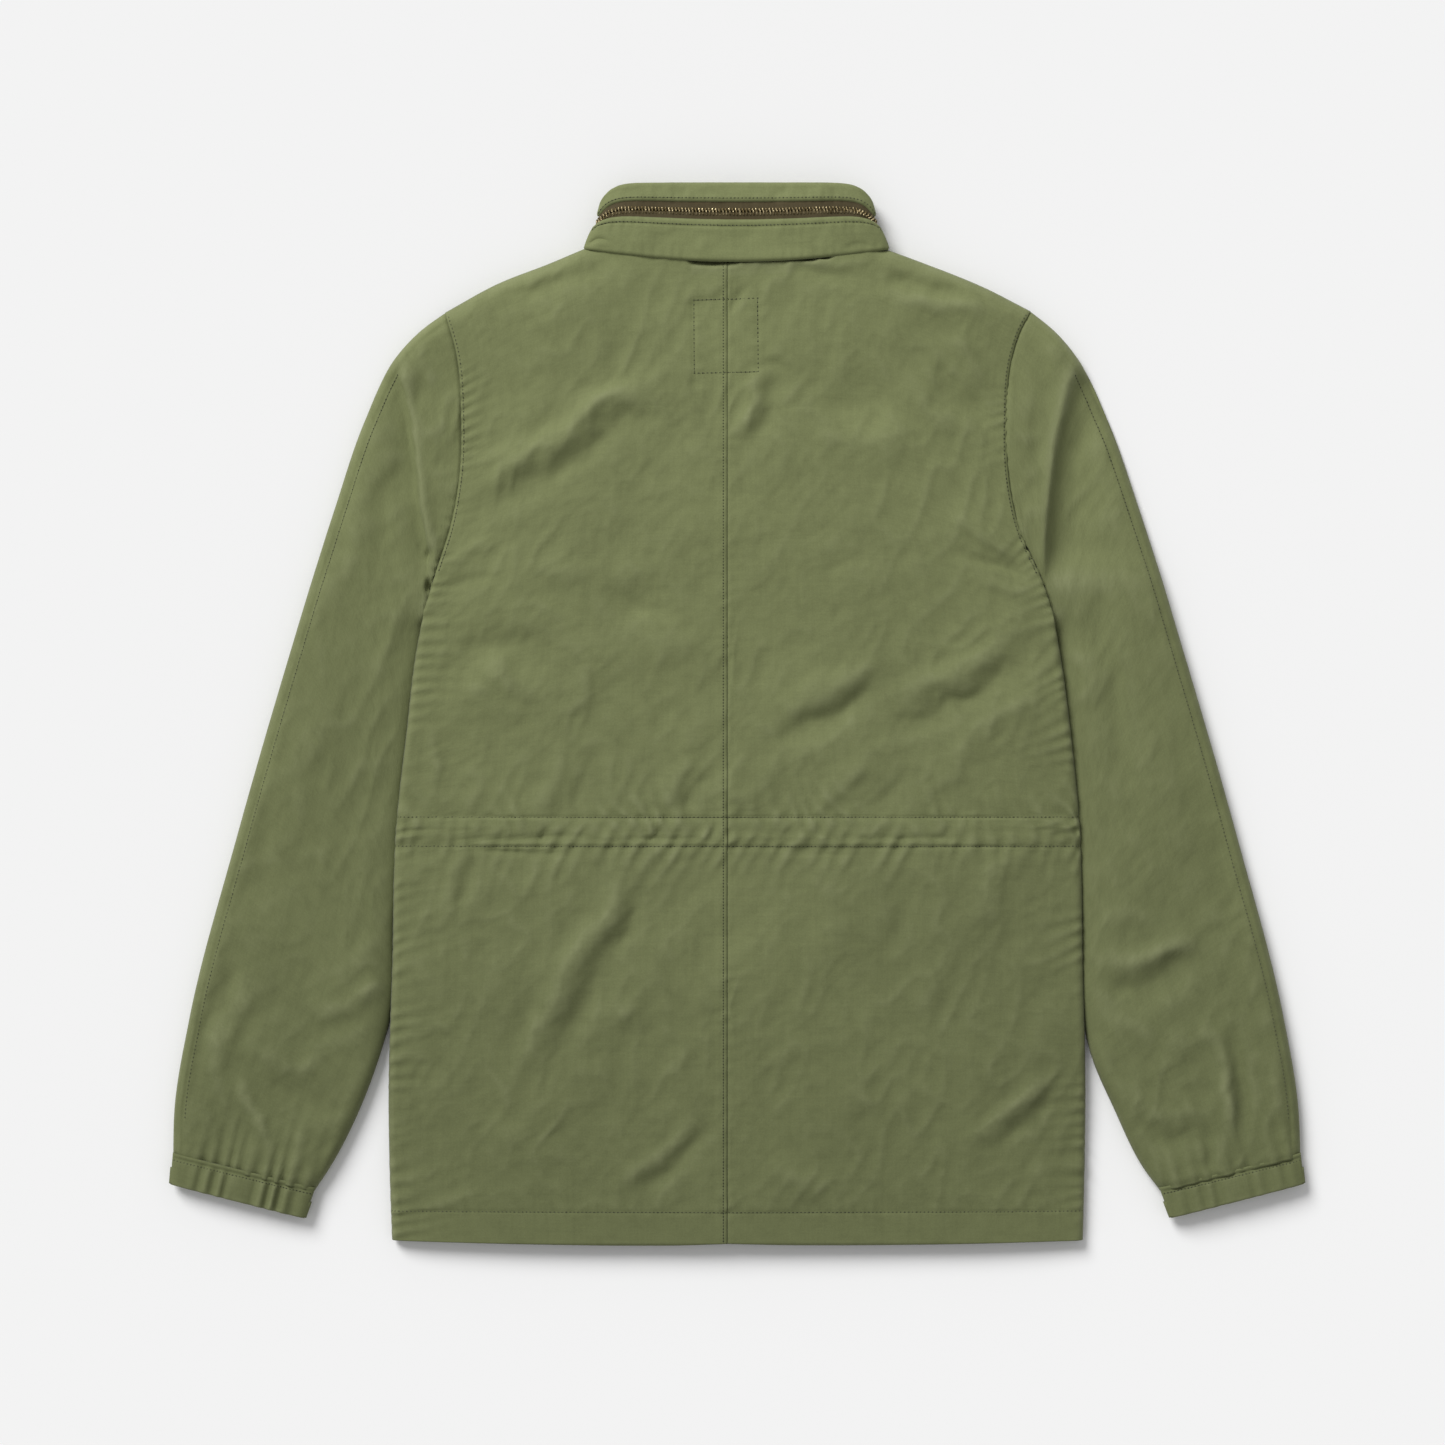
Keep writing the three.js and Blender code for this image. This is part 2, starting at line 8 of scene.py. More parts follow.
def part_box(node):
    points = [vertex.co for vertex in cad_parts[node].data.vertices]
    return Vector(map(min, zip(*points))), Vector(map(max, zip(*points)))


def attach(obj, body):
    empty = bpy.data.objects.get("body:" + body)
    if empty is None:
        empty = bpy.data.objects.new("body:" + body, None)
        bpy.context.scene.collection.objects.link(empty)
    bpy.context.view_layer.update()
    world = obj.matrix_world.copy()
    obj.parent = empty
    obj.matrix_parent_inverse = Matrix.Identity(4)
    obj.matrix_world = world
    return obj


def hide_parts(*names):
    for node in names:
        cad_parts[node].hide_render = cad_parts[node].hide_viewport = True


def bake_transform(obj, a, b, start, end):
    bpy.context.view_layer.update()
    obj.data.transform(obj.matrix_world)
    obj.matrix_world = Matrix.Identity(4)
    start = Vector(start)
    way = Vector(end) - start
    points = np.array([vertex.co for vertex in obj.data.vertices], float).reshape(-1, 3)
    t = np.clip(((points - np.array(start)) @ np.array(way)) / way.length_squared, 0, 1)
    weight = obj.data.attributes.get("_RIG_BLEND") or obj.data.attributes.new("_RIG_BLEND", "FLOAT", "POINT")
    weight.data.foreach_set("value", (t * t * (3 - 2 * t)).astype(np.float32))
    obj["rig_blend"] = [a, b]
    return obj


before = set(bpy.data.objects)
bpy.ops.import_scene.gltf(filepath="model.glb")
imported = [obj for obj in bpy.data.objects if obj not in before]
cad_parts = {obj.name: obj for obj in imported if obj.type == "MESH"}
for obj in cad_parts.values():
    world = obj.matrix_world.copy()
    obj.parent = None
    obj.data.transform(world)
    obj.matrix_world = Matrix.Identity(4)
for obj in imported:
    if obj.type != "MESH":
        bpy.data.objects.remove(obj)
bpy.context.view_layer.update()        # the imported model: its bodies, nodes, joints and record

mm = 0.001
print("frame loaded:", len(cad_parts), "nodes")

# Lengths below are in millimetres on the laid jacket: x to the right, y up the back, z out of the back.
# The back is two halves and each sleeve is one tube. Left and right are as seen from above.


# Lines, steps and noise

def soften(low, high, value):
    t = np.clip((value - low) / (high - low), 0, 1)
    return t * t * (3 - 2 * t)


def mixed(a, b, t):
    return a + (b - a) * t


def bump(value, middle, reach):
    return np.exp(-((value - middle) / reach) ** 2)


def roundOff(gap, radius):        # 0 at an edge, rising to 1 a radius in, like a quarter circle
    t = 1 - np.clip(gap / radius, 0, 1)
    return np.sqrt(1 - t * t)


def evenly(curve, shares):        # points at the given shares of a line's length
    walked = np.r_[0, np.cumsum(np.linalg.norm(np.diff(curve, axis=0), axis=1))]
    at = np.asarray(shares) * walked[-1]
    return np.stack([np.interp(at, walked, curve[:, k]) for k in range(curve.shape[1])], axis=1)


def smoothLine(points, count=60):        # even steps along a smooth curve through a few points
    p = np.array(points, float)
    at = np.r_[0, np.cumsum(np.linalg.norm(np.diff(p, axis=0), axis=1))]
    slope = np.gradient(p, at, axis=0)
    fine = np.linspace(0, at[-1], 40 * len(p))
    k = np.clip(np.searchsorted(at, fine, side="right") - 1, 0, len(p) - 2)
    span = (at[k + 1] - at[k])[:, None]
    t = (fine - at[k])[:, None] / span
    curve = (2 * t**3 - 3 * t**2 + 1) * p[k] + (t**3 - 2 * t**2 + t) * span * slope[k]
    curve += (3 * t**2 - 2 * t**3) * p[k + 1] + (t**3 - t**2) * span * slope[k + 1]
    return evenly(curve, np.linspace(0, 1, count))


def alongLine(line, x, y, reach=None):        # signed distance from a line, and the distance along it
    side = np.full(x.shape, 1e6)
    along = np.zeros(x.shape)
    low, high = line.min(axis=0), line.max(axis=0)
    far = 1e6 if reach is None else reach
    near = (x > low[0] - far) & (x < high[0] + far) & (y > low[1] - far) & (y < high[1] + far)
    px, py = x[near], y[near]
    best = np.full(px.shape, 1e12)
    nearAlong = np.zeros(px.shape)
    sign = np.ones(px.shape)
    walked = 0.0
    for a, b in zip(line[:-1], line[1:]):
        dx, dy = b - a
        size = math.hypot(dx, dy)
        ax, ay = px - a[0], py - a[1]
        t = np.clip((ax * dx + ay * dy) / size**2, 0, 1)
        ex, ey = ax - t * dx, ay - t * dy
        gap = ex * ex + ey * ey
        closer = gap < best
        best = np.where(closer, gap, best)
        nearAlong = np.where(closer, walked + t * size, nearAlong)
        sign = np.where(closer, np.sign(dx * ey - dy * ex), sign)
        walked += size
    side[near] = sign * np.sqrt(best)
    along[near] = nearAlong
    return side, along, walked


def softNoise(x, y, cell, seed):        # smooth seeded noise from -1 to 1, about one bump a cell
    size = 97
    table = np.random.default_rng(seed).uniform(-1, 1, (size, size))
    gx, gy = np.asarray(x) / cell + 31.7, np.asarray(y) / cell + 45.3
    ix, iy = np.floor(gx).astype(int), np.floor(gy).astype(int)
    tx, ty = gx - ix, gy - iy
    tx, ty = tx * tx * (3 - 2 * tx), ty * ty * (3 - 2 * ty)
    a, b = table[iy % size, ix % size], table[iy % size, (ix + 1) % size]
    c, d = table[(iy + 1) % size, ix % size], table[(iy + 1) % size, (ix + 1) % size]
    return mixed(mixed(a, b, tx), mixed(c, d, tx), ty)


def turned(x, y, degrees):
    a = math.radians(degrees)
    return x * math.cos(a) + y * math.sin(a), y * math.cos(a) - x * math.sin(a)


def sharpNoise(x, y, cell, seed):        # narrow creases between broad swells
    return 1 - 2 * np.abs(softNoise(x, y, cell, seed)) ** 0.7


def spread(length, step, fine=()):        # shares of a length, closer together near the fine places
    at = np.linspace(0, length, int(length * 8) + 1)
    size = np.full(at.shape, float(step))
    for place, reach, small in fine:
        size = np.minimum(size, small + 0.25 * np.maximum(np.abs(at - place) - reach, 0))
    count = np.r_[0, np.cumsum(np.diff(at) / (0.5 * (size[1:] + size[:-1])))]
    even = np.linspace(0, count[-1], int(math.ceil(count[-1])) + 1)
    return np.interp(even, count, at) / length


# Folds and seams, which shape every piece of cloth

def foldHeight(folds, x, y):        # each fold: points, width, height, and how far its far flank is pulled in
    total = np.zeros(x.shape)
    wx = x + 6 * softNoise(x, y, 34, 5) + 1.6 * softNoise(x, y, 12, 6)        # no fold runs quite straight
    wy = y + 6 * softNoise(x, y, 34, 7) + 1.6 * softNoise(x, y, 12, 8)
    uneven = 0.92 + 0.35 * softNoise(wx, wy, 30, 9) + 0.14 * softNoise(wx, wy, 10, 10)
    for points, width, height, lean in folds:
        line = smoothLine(points, 14) if len(points) > 2 else np.array(points, float)
        warp = min(1.0, width / 9)
        side, along, length = alongLine(line, mixed(x, wx, warp), mixed(y, wy, warp), 3.2 * width)
        own = width * (1 - lean * np.sign(side))
        share = along / length
        ends = soften(0, 0.3, share) * (1 - soften(0.65, 1, share))
        total += height * np.exp(-((side / own) ** 2)) * (0.15 + 0.85 * ends)
    return total * uneven


def seamHeight(seam, x, y):        # a stitched line: its furrow, raised allowance and the puckers it draws
    side, along = alongLine(seam["line"], x, y, seam["reach"] * 3)[:2]
    gap = np.abs(side)
    seed = seam["seed"]
    tight = 0.5 * softNoise(along, 0 * along + 9, 13, seed + 2)        # where the thread drew tight
    drawn = softNoise(along, 0 * along, 30, seed) * 0.8 + tight + 0.5
    wave = along + 3.4 * softNoise(along, side * 0.4, 21, seed + 1) * seam["wave"] / 6
    wave = wave + seam["slant"] * side * (1 + 0.9 * softNoise(along, 0 * along + 4, 38, seed + 3))
    ripple = np.sin(2 * math.pi * wave / seam["wave"]) * np.clip(drawn, 0, 1)
    inside = np.where(gap < 1e5, 1.0, 0.0)
    height = seam["pucker"] * ripple * np.exp(-gap / seam["reach"])
    height -= seam["furrow"] * np.exp(-((gap / seam["furrowWidth"]) ** 2))
    allowance = soften(0, 1.2, side * seam["raisedSide"]) * (1 - soften(7, 9.5, side * seam["raisedSide"]))
    height += seam["raised"] * allowance
    return height * inside


def seam(line, **values):        # the values of one stitched line, in place of the usual ones
    usual = dict(pucker=0.5, wave=9, reach=9, slant=0.25, furrow=0.5, furrowWidth=1.3,
                 raised=0.35, raisedSide=1)
    return {**usual, **values, "line": line}


def crumple(x, y, seed, amount=1.0):        # the washed, slightly crumpled hand of the cloth
    wx = x + 9 * softNoise(x, y, 40, seed + 1)
    wy = y + 9 * softNoise(x, y, 40, seed + 2)
    ax, ay = turned(wx, wy, 38)
    bx, by = turned(wx, wy, 68)
    height = 1.3 * softNoise(wx, wy, 85, seed + 3)
    height += 0.62 * softNoise(ax, ay * 2.0, 40, seed + 4)
    patchy = 0.55 + 0.6 * softNoise(x, y, 60, seed + 6)
    height += 0.55 * sharpNoise(bx, by * 2.1, 29, seed + 5) * patchy
    height += 0.20 * sharpNoise(ax, ay * 1.6, 12, seed + 7) * (1.2 - patchy * 0.5)
    height += 0.085 * sharpNoise(bx, by * 1.4, 6, seed + 9)
    return height * amount


# Outlines

outline = {
    "left": {
        "side": [(-259.5, -394), (-261.2, -345), (-262, -290), (-259, -180), (-256.7, -88), (-248, -10),
                 (-240.5, 50), (-234, 80)],
        "armhole": [(-234, 80), (-226.2, 106), (-214.7, 142.5), (-208.5, 177), (-207, 225), (-210.9, 272.6),
                    (-219.5, 302.5)],
        "neck": [(-7.3, 352), (-60, 353), (-112.7, 350.6)],
        "shoulder": [(-112.7, 350.6), (-140.4, 339.5), (-180, 324), (-219.5, 302.5)],
        "hem": [(-7.3, -396), (-42, -397.3), (-150, -396.6), (-259.5, -394)],
        "sleeveOuter": [(-219.5, 302.5), (-238, 289), (-258.5, 266.5), (-280, 221.5), (-303, 154),
                        (-337.7, 41.6), (-376.7, -93.4), (-411.9, -228.4), (-423, -296), (-424, -331)],
        "sleeveInner": [(-234, 80), (-238, 30), (-250, -60), (-256.5, -150), (-260, -225), (-267.2, -251),
                        (-283.7, -296), (-306.9, -341), (-317.7, -357.1)],
        "fold": [(-254, 262), (-245.4, 224.8), (-240.5, 186.5), (-237.6, 157.9), (-231.9, 127), (-231, 104)],
    },
    "right": {
        "side": [(259.8, -394), (261, -345), (261.6, -290), (259.5, -180), (257.6, -88), (250, -10),
                 (241.6, 50), (236, 78)],
        "armhole": [(236, 78), (228.6, 100), (210.5, 142.2), (203.5, 177), (202, 222), (205, 265),
                    (211.5, 287), (220.3, 303.5)],
        "neck": [(-7.3, 352), (55, 353), (113.8, 348.6)],
        "shoulder": [(113.8, 348.6), (140, 339.5), (185, 321.5), (220.3, 303.5)],
        "hem": [(-7.3, -396), (30, -397), (150, -396.6), (259.8, -394)],
        "sleeveOuter": [(220.3, 303.5), (238.3, 289), (257, 266.6), (278.8, 221.6), (302.8, 154),
                        (337.3, 41.6), (376.3, -93.4), (410.8, -228.4), (421.8, -296), (423.3, -331)],
        "sleeveInner": [(236, 78), (240, 30), (251, -60), (257.5, -150), (259.5, -225), (264.6, -251),
                        (283.3, -296), (305.8, -341), (317.8, -357)],
        "fold": [(256, 267), (247.3, 236.6), (238.6, 198.4), (234.9, 168.4), (231.6, 128), (232, 100)],
    },
}
centreX = -7.3
sideSign = {"left": -1, "right": 1}
lines = {s: {k: smoothLine(p, 90) for k, p in outline[s].items()} for s in outline}
for s in lines:
    lines[s]["edge"] = np.vstack([lines[s]["side"][:-1], lines[s]["armhole"]])
    lines[s]["top"] = np.vstack([lines[s]["neck"][:-1], lines[s]["shoulder"]])


def edgeX(side, y):        # how far out the side seam or armhole lies at a height
    line = lines[side]["edge"]
    return np.interp(y, line[:, 1], line[:, 0])


def topY(side, x):        # the height of the neck and shoulder line at a width
    line = lines[side]["top"]
    order = np.argsort(line[:, 0])
    return np.interp(x, line[order, 0], line[order, 1])


# The collar's values, which the back follows where it lies under the collar

collarLook = dict(
    baseHalf=113.3,      # half its width where it joins the back
    topHalf=100.8,
    shift=0.6,           # how far its middle lies to the left
    baseMiddle=341.0,    # the base seam at the middle of the back
    baseEnd=350.4,
    top=397.6,           # the top fold
    topEnd=386,
    droop=4.2,           # how far the zip sags at the ends
    centre=12.6,         # middle of its thickness over the floor
    half=10.6,           # from there up to the upper face
    under=7.7,           # and down to the underside
    square=3.4, squareUnder=9,        # how boxy the flattened ring is
    thickness=1.3, innerThickness=1.0,
    innerInset=4.6,      # how far the inner collar lies inside
    opening=0.012,       # the ring stops short of the front zip by this share of half a turn
    around=421,          # points round it
    tapeLow=0.505, tapeHigh=0.775, chain=0.628,        # shares of its height
    seed=131,
)


# The back

backLook = dict(
    crown=24,            # height of the middle of the back over the floor
    hemCrown=15,         # and at the hem
    sideHeight=13,       # height of the side edges
    armpitHeight=18,
    armholeHeight=16.5,
    neckHeight=22.5,
    shoulderHeight=8,
    thickness=1.2,
    waistUpper=-76.1, waistLower=-97.9,        # the two stitch lines of the waist channel
    hemStitch=-372.6,
    width=255, rise=740,        # of one half, from the middle seam and from the hem
    step=2.5,            # size of the cloth's faces
    folds=1.55, crumple=1.45,        # how strongly the cloth is folded and crumpled
    seed=11,
)

backFolds = [
    # below the collar and across the shoulders
    ([(-88, 337), (-140, 322), (-205, 300)], 9, -1.9, 0.1),
    ([(-120, 340), (-165, 320), (-200, 304)], 7, 1.4, 0.2),
    ([(-60, 330), (-110, 312), (-150, 290)], 14, 1.5, 0.2),
    ([(8, 322), (-3, 306), (-9, 296)], 3.5, -1.3, 0.2),
    ([(-2, 326), (-20, 316), (-46, 312)], 5, 0.9, 0.2),
    ([(38, 335), (62, 331), (96, 334)], 6, -1.6, 0.1),
    ([(100, 332), (135, 325), (180, 308)], 9, -2.2, -0.2),
    ([(112, 318), (150, 312), (196, 293)], 8, 1.5, 0.2),
    # the long fold from the label to the left armhole
    ([(-42, 256), (-85, 240), (-135, 204), (-203, 166)], 15, 4.6, -0.35),
    ([(-52, 236), (-92, 214), (-138, 180), (-205, 148)], 12, -3.2, 0.2),
    ([(-150, 208), (-180, 196), (-205, 190)], 8, 1.4, 0.2),
    ([(-35, 252), (-32, 248), (-28, 243)], 3, -1.0, 0),
    ([(17, 264), (30, 262), (48, 250)], 4, -1.2, 0),
    # right of the label
    ([(18, 260), (11, 236), (-2, 205)], 8, 1.9, -0.3),
    ([(34, 252), (24, 228), (8, 196)], 10, -1.6, 0.1),
    ([(38, 250), (75, 236), (120, 246)], 15, -2.4, -0.1),
    ([(45, 214), (95, 208), (140, 224)], 18, 1.8, 0.1),
    ([(136, 268), (165, 240), (198, 205)], 9, -2.3, 0.2),
    ([(120, 262), (150, 232), (192, 190)], 11, 1.8, 0.2),
    ([(150, 292), (172, 268), (186, 240)], 7, 1.2, 0.2),
    # the middle of the back
    ([(-118, 112), (-80, 86), (-30, 80)], 14, -2.4, -0.2),
    ([(-150, 110), (-110, 104), (-60, 108)], 13, 1.7, 0.1),
    ([(-222, 30), (-186, 56), (-146, 40), (-108, 18)], 11, -2.6, -0.1),
    ([(-210, 12), (-180, 34), (-150, 20)], 10, 1.6, 0.1),
    ([(-120, 40), (-112, 14), (-136, -8)], 9, 1.2, 0.2),
    ([(-30, 62), (-60, 46), (-100, 50)], 12, 1.2, 0.2),
    ([(22, -26), (60, -8), (112, 26)], 9, -2.6, 0.2),
    ([(18, -8), (60, 12), (108, 42)], 10, 1.9, -0.2),
    ([(104, -12), (150, 2), (222, 54)], 9, -2.7, 0.25),
    ([(110, 8), (152, 24), (205, 66)], 10, 1.9, -0.2),
    ([(150, -40), (185, -12), (232, 22)], 9, 1.4, 0.2),
    ([(60, 120), (110, 100), (170, 112)], 20, 1.2, 0),
    ([(214, 118), (190, 132), (158, 152)], 6, 1.5, 0.3),
    ([(222, 104), (196, 112), (160, 122)], 5, -1.4, 0.2),
    ([(226, 92), (206, 92), (176, 98)], 5, 1.1, 0.2),
    ([(-226, 108), (-205, 120), (-175, 132)], 6, 1.5, 0.2),
    ([(-230, 92), (-206, 100), (-178, 104)], 5, -1.3, 0.2),
    # gathers that run up from the waist channel
    ([(-150, -74), (-136, -46), (-124, -18)], 7, 1.5, -0.3),
    ([(-128, -74), (-114, -48), (-100, -20)], 6, -1.4, 0.2),
    ([(-62, -74), (-44, -50), (-26, -26)], 8, 1.8, -0.3),
    ([(-44, -74), (-30, -56), (-16, -44)], 5, -1.3, 0.2),
    ([(6, -74), (-2, -52), (8, -24)], 6, 1.3, 0.2),
    ([(64, -74), (84, -52), (98, -34)], 7, 1.4, -0.3),
    ([(96, -74), (116, -54), (130, -36)], 6, -1.1, 0.2),
    ([(128, -74), (150, -54), (176, -42)], 8, 1.5, -0.3),
    ([(-206, -74), (-192, -56), (-184, -34)], 7, 1.1, -0.2),
    ([(-236, -72), (-228, -40), (-230, 0)], 7, 1.1, -0.2),
    # creases along and across the channel
    ([(-238, -92), (-190, -93), (-140, -90), (-92, -92)], 2.4, -1.3, 0.2),
    ([(-90, -91), (-50, -92), (-22, -91)], 2.0, -0.8, 0.2),
    ([(60, -91), (120, -92), (190, -90)], 2.4, -1.0, 0.2),
    ([(-150, -96), (-146, -88), (-141, -82)], 1.8, -1.1, 0.2),
    ([(-125, -95), (-120, -87), (-115, -79)], 1.8, 1.2, 0.2),
    ([(-68, -96), (-61, -88), (-56, -80)], 1.8, -1.3, 0.2),
    ([(-28, -95), (-23, -87), (-19, -79)], 1.8, 1.1, 0.2),
    ([(30, -95), (36, -87), (41, -79)], 1.8, -1.1, 0.2),
    ([(96, -95), (101, -87), (107, -79)], 1.8, 1.1, 0.2),
    ([(150, -95), (156, -87), (160, -79)], 1.8, -1.1, 0.2),
    ([(-204, -102), (-160, -102), (-116, -101)], 2.6, -1.1, 0.2),
    ([(20, -102), (60, -102), (100, -101)], 2.6, -0.9, 0.2),
    # long folds below the channel
    ([(-76, -100), (-104, -158), (-142, -222), (-168, -280)], 13, 3.0, -0.35),
    ([(-60, -110), (-88, -168), (-124, -232), (-150, -286)], 10, -2.2, 0.2),
    ([(-206, -102), (-214, -130), (-228, -150)], 8, 1.5, -0.2),
    ([(-190, -104), (-198, -128), (-210, -150)], 6, -1.1, 0.2),
    ([(-28, -148), (-62, -196), (-112, -244)], 12, 1.4, 0.2),
    ([(-24, -306), (-48, -334), (-76, -364)], 8, -2.2, 0.2),
    ([(-34, -296), (-62, -328), (-92, -362)], 8, 1.8, -0.2),
    ([(-206, -330), (-160, -326), (-110, -340)], 16, 1.1, 0.1),
    ([(58, -100), (70, -150), (62, -196)], 15, 1.4, -0.1),
    ([(124, -104), (122, -160), (112, -212)], 13, -1.2, 0.1),
    ([(196, -100), (190, -136), (178, -166)], 10, 1.3, -0.2),
    ([(236, -262), (212, -292), (172, -322)], 9, 2.1, -0.3),
    ([(244, -276), (222, -304), (184, -336)], 8, -1.7, 0.2),
    ([(24, -260), (70, -282), (120, -276)], 20, 1.1, 0.1),
    ([(22, -330), (62, -352), (90, -366)], 10, 1.2, 0.2),
]


def sideLevel(y):        # height of the back's outer edge before it is rolled over
    look = backLook
    edge = mixed(look["sideHeight"] - 2.5, look["sideHeight"] + 1, soften(-390, -200, y))
    edge = mixed(edge, look["armpitHeight"], soften(-90, 70, y))
    return mixed(edge, look["armholeHeight"], soften(90, 150, y))


def shoulderLevel(x):        # height of the shoulder edge, a little more beside the collar
    return backLook["shoulderHeight"] + 5 * (1 - soften(112, 150, np.abs(x)))


def backBase(side, x, y):        # the smooth lie of the back, before any fold
    look = backLook
    half = np.abs(edgeX(side, y) - centreX)
    u = np.clip(np.abs(x - centreX) / half, 0, 1.15)
    crown = mixed(look["hemCrown"], look["crown"], soften(-400, -180, y))
    crown = mixed(crown, look["neckHeight"], soften(240, 340, y))
    edge = sideLevel(y)
    z = mixed(edge, crown, 1 - np.clip(u, 0, 1) ** 3.2)
    z = np.where(u > 1, edge, z)
    shoulderGap = (topY(side, x) - y) * 0.93
    z = mixed(shoulderLevel(x), z, roundOff(shoulderGap, 15))
    sideGap = np.abs(edgeX(side, y)) - np.abs(x)
    onSide = 1 - soften(50, 78, y)
    z = z - 5.5 * onSide * (1 - roundOff(sideGap, 6))
    q = np.clip(np.abs(x + collarLook["shift"]) / collarLook["baseHalf"], 0, 0.985)
    boxy = collarLook["square"]        # under the collar the back follows the collar's own curve
    underCollar = collarLook["centre"] + 0.15 + collarLook["half"] * (1 - q**boxy) ** (1 / boxy)
    meets = soften(298, 338, y) * (1 - soften(98, 113, np.abs(x)))
    return mixed(z, underCollar, meets)


def neckDip(x, y):        # the back hangs away from the collar seam, which leaves a dark gap there
    wide = soften(-38, -33, x) * (1 - soften(66, 72, x))
    line = 338.7 + 0.045 * np.maximum(x, 0) + 0.5 * np.sin(x / 9)
    return -7.0 * wide * soften(line - 1.0, line + 0.5, y)


def backSeams(side):
    look = backLook
    s = sideSign[side]
    inner = np.array([(centreX, -400.0), (centreX, 352.0)])
    levels = (look["waistUpper"], look["waistLower"])
    upper, lower = (np.array([(centreX - 3 * s, level), (s * 262.0, level)]) for level in levels)
    hem = np.array([(centreX - 3 * s, look["hemStitch"]), (s * 262.0, look["hemStitch"] + 1.2)])
    channel = dict(reach=15, furrow=0.8, furrowWidth=1.1, raised=0.5)
    return [
        seam(inner, pucker=0.45, wave=10, reach=8, furrow=0.55, furrowWidth=0.9, raised=0.32, seed=21),
        seam(lines[side]["armhole"], pucker=1.35, wave=8, reach=10, furrow=0.9, raised=0.8,
             raisedSide=-s if side == "right" else 1, seed=23 + s),
        seam(upper, pucker=1.35, wave=15, raisedSide=-s, slant=0.5, seed=27, **channel),
        seam(lower, pucker=1.25, wave=13, raisedSide=s, slant=-0.4, seed=31, **channel),
        seam(hem, pucker=0.35, wave=10, reach=7, furrow=0.4, furrowWidth=0.9, raised=0.0, seed=35),
        seam(lines[side]["side"], pucker=1.15, wave=11, reach=17, furrow=0.0, raised=0.0, seed=39 + s),
    ]


labelBox = dict(left=-32.6, right=15.1, low=255.8, high=312)        # stitching that holds the neck label


def labelLines():
    b = labelBox
    corners = [(b["left"], b["high"] - 1.5), (b["right"], b["high"]), (b["right"] + 0.5, b["low"] + 1),
               (b["left"] + 0.4, b["low"]), (b["left"], b["high"] - 1.5)]
    return [np.array(pair, float) for pair in zip(corners[:-1], corners[1:])]


def backHeight(side, x, y):
    look = backLook
    z = backBase(side, x, y)
    sideGap = np.abs(edgeX(side, y)) - np.abs(x)
    calm = 0.35 + 0.65 * soften(0, 22, sideGap)
    calm = calm * (0.3 + 0.7 * soften(0, 18, topY(side, x) - y))
    inHem = 1 - soften(look["hemStitch"] - 3, look["hemStitch"] + 6, y)
    creases = look["folds"] * foldHeight(backFolds, x, y) + crumple(x, y, look["seed"], look["crumple"])
    z = z + creases * calm * (1 - 0.85 * inHem)
    for one in backSeams(side):
        z = z + seamHeight(one, x, y) * soften(-1, 3, np.abs(sideGap) + 3)
    channel = bump(y, (look["waistUpper"] + look["waistLower"]) / 2, 7)
    ribs = np.sin(2 * math.pi * (x + 0.5 * y + 8 * softNoise(x, y, 33, 41)) / 14)
    z = z + channel * (0.8 + 0.75 * ribs * (0.35 + 0.9 * softNoise(x, y, 34, 42)))
    for line in labelLines():
        gap, along = alongLine(line, x, y, 12)[:2]
        inside = np.abs(gap) < 1e5
        z = z - np.where(inside, 0.45 * np.exp(-((gap / 1.4) ** 2)), 0)
        z = z + np.where(inside, 0.22 * np.sin(along / 1.7) * np.exp(-np.abs(gap) / 5), 0)
    z = z + neckDip(x, y)
    hemGap = y - lines[side]["hem"][:, 1].min()
    z = z - 2.6 * (1 - roundOff(hemGap, 3.0))
    return z


# Materials

def newMaterial(name):
    material = bpy.data.materials.new(name)
    material.use_nodes = True
    tree = material.node_tree
    return material, tree.nodes, tree.links, tree.nodes["Principled BSDF"]


def mixColour(nodes, links, factor, a, b, blend="MIX"):
    # factor, a and b are sockets, colours or numbers
    mix = nodes.new("ShaderNodeMix")
    mix.data_type = "RGBA"
    mix.blend_type = blend
    for socket, value in ((mix.inputs[0], factor), (mix.inputs[6], a), (mix.inputs[7], b)):
        if isinstance(value, bpy.types.NodeSocket):
            links.new(value, socket)
        else:
            socket.default_value = value
    return mix.outputs[2]


def rampOf(nodes, links, value, stops):        # stops are (place, grey level)
    ramp = nodes.new("ShaderNodeValToRGB")
    while len(ramp.color_ramp.elements) < len(stops):
        ramp.color_ramp.elements.new(0.5)
    for element, (place, level) in zip(ramp.color_ramp.elements, stops):
        element.position = place
        element.color = (level, level, level, 1)
    links.new(value, ramp.inputs[0])
    return ramp.outputs[0]


def scaledUv(nodes, links, scale, turn=0.0):        # the piece's own map, in metres of cloth, scaled
    uv = nodes.new("ShaderNodeUVMap")
    uv.uv_map = "cloth"
    mapping = nodes.new("ShaderNodeMapping")
    mapping.inputs["Scale"].default_value = scale
    mapping.inputs["Rotation"].default_value = (0, 0, turn)
    links.new(uv.outputs[0], mapping.inputs[0])
    return mapping.outputs[0]


def noiseOf(nodes, links, vector, scale, detail, rough=0.55):
    noise = nodes.new("ShaderNodeTexNoise")
    noise.inputs["Scale"].default_value = scale
    noise.inputs["Detail"].default_value = detail
    noise.inputs["Roughness"].default_value = rough
    links.new(vector, noise.inputs["Vector"])
    return noise.outputs["Fac"]


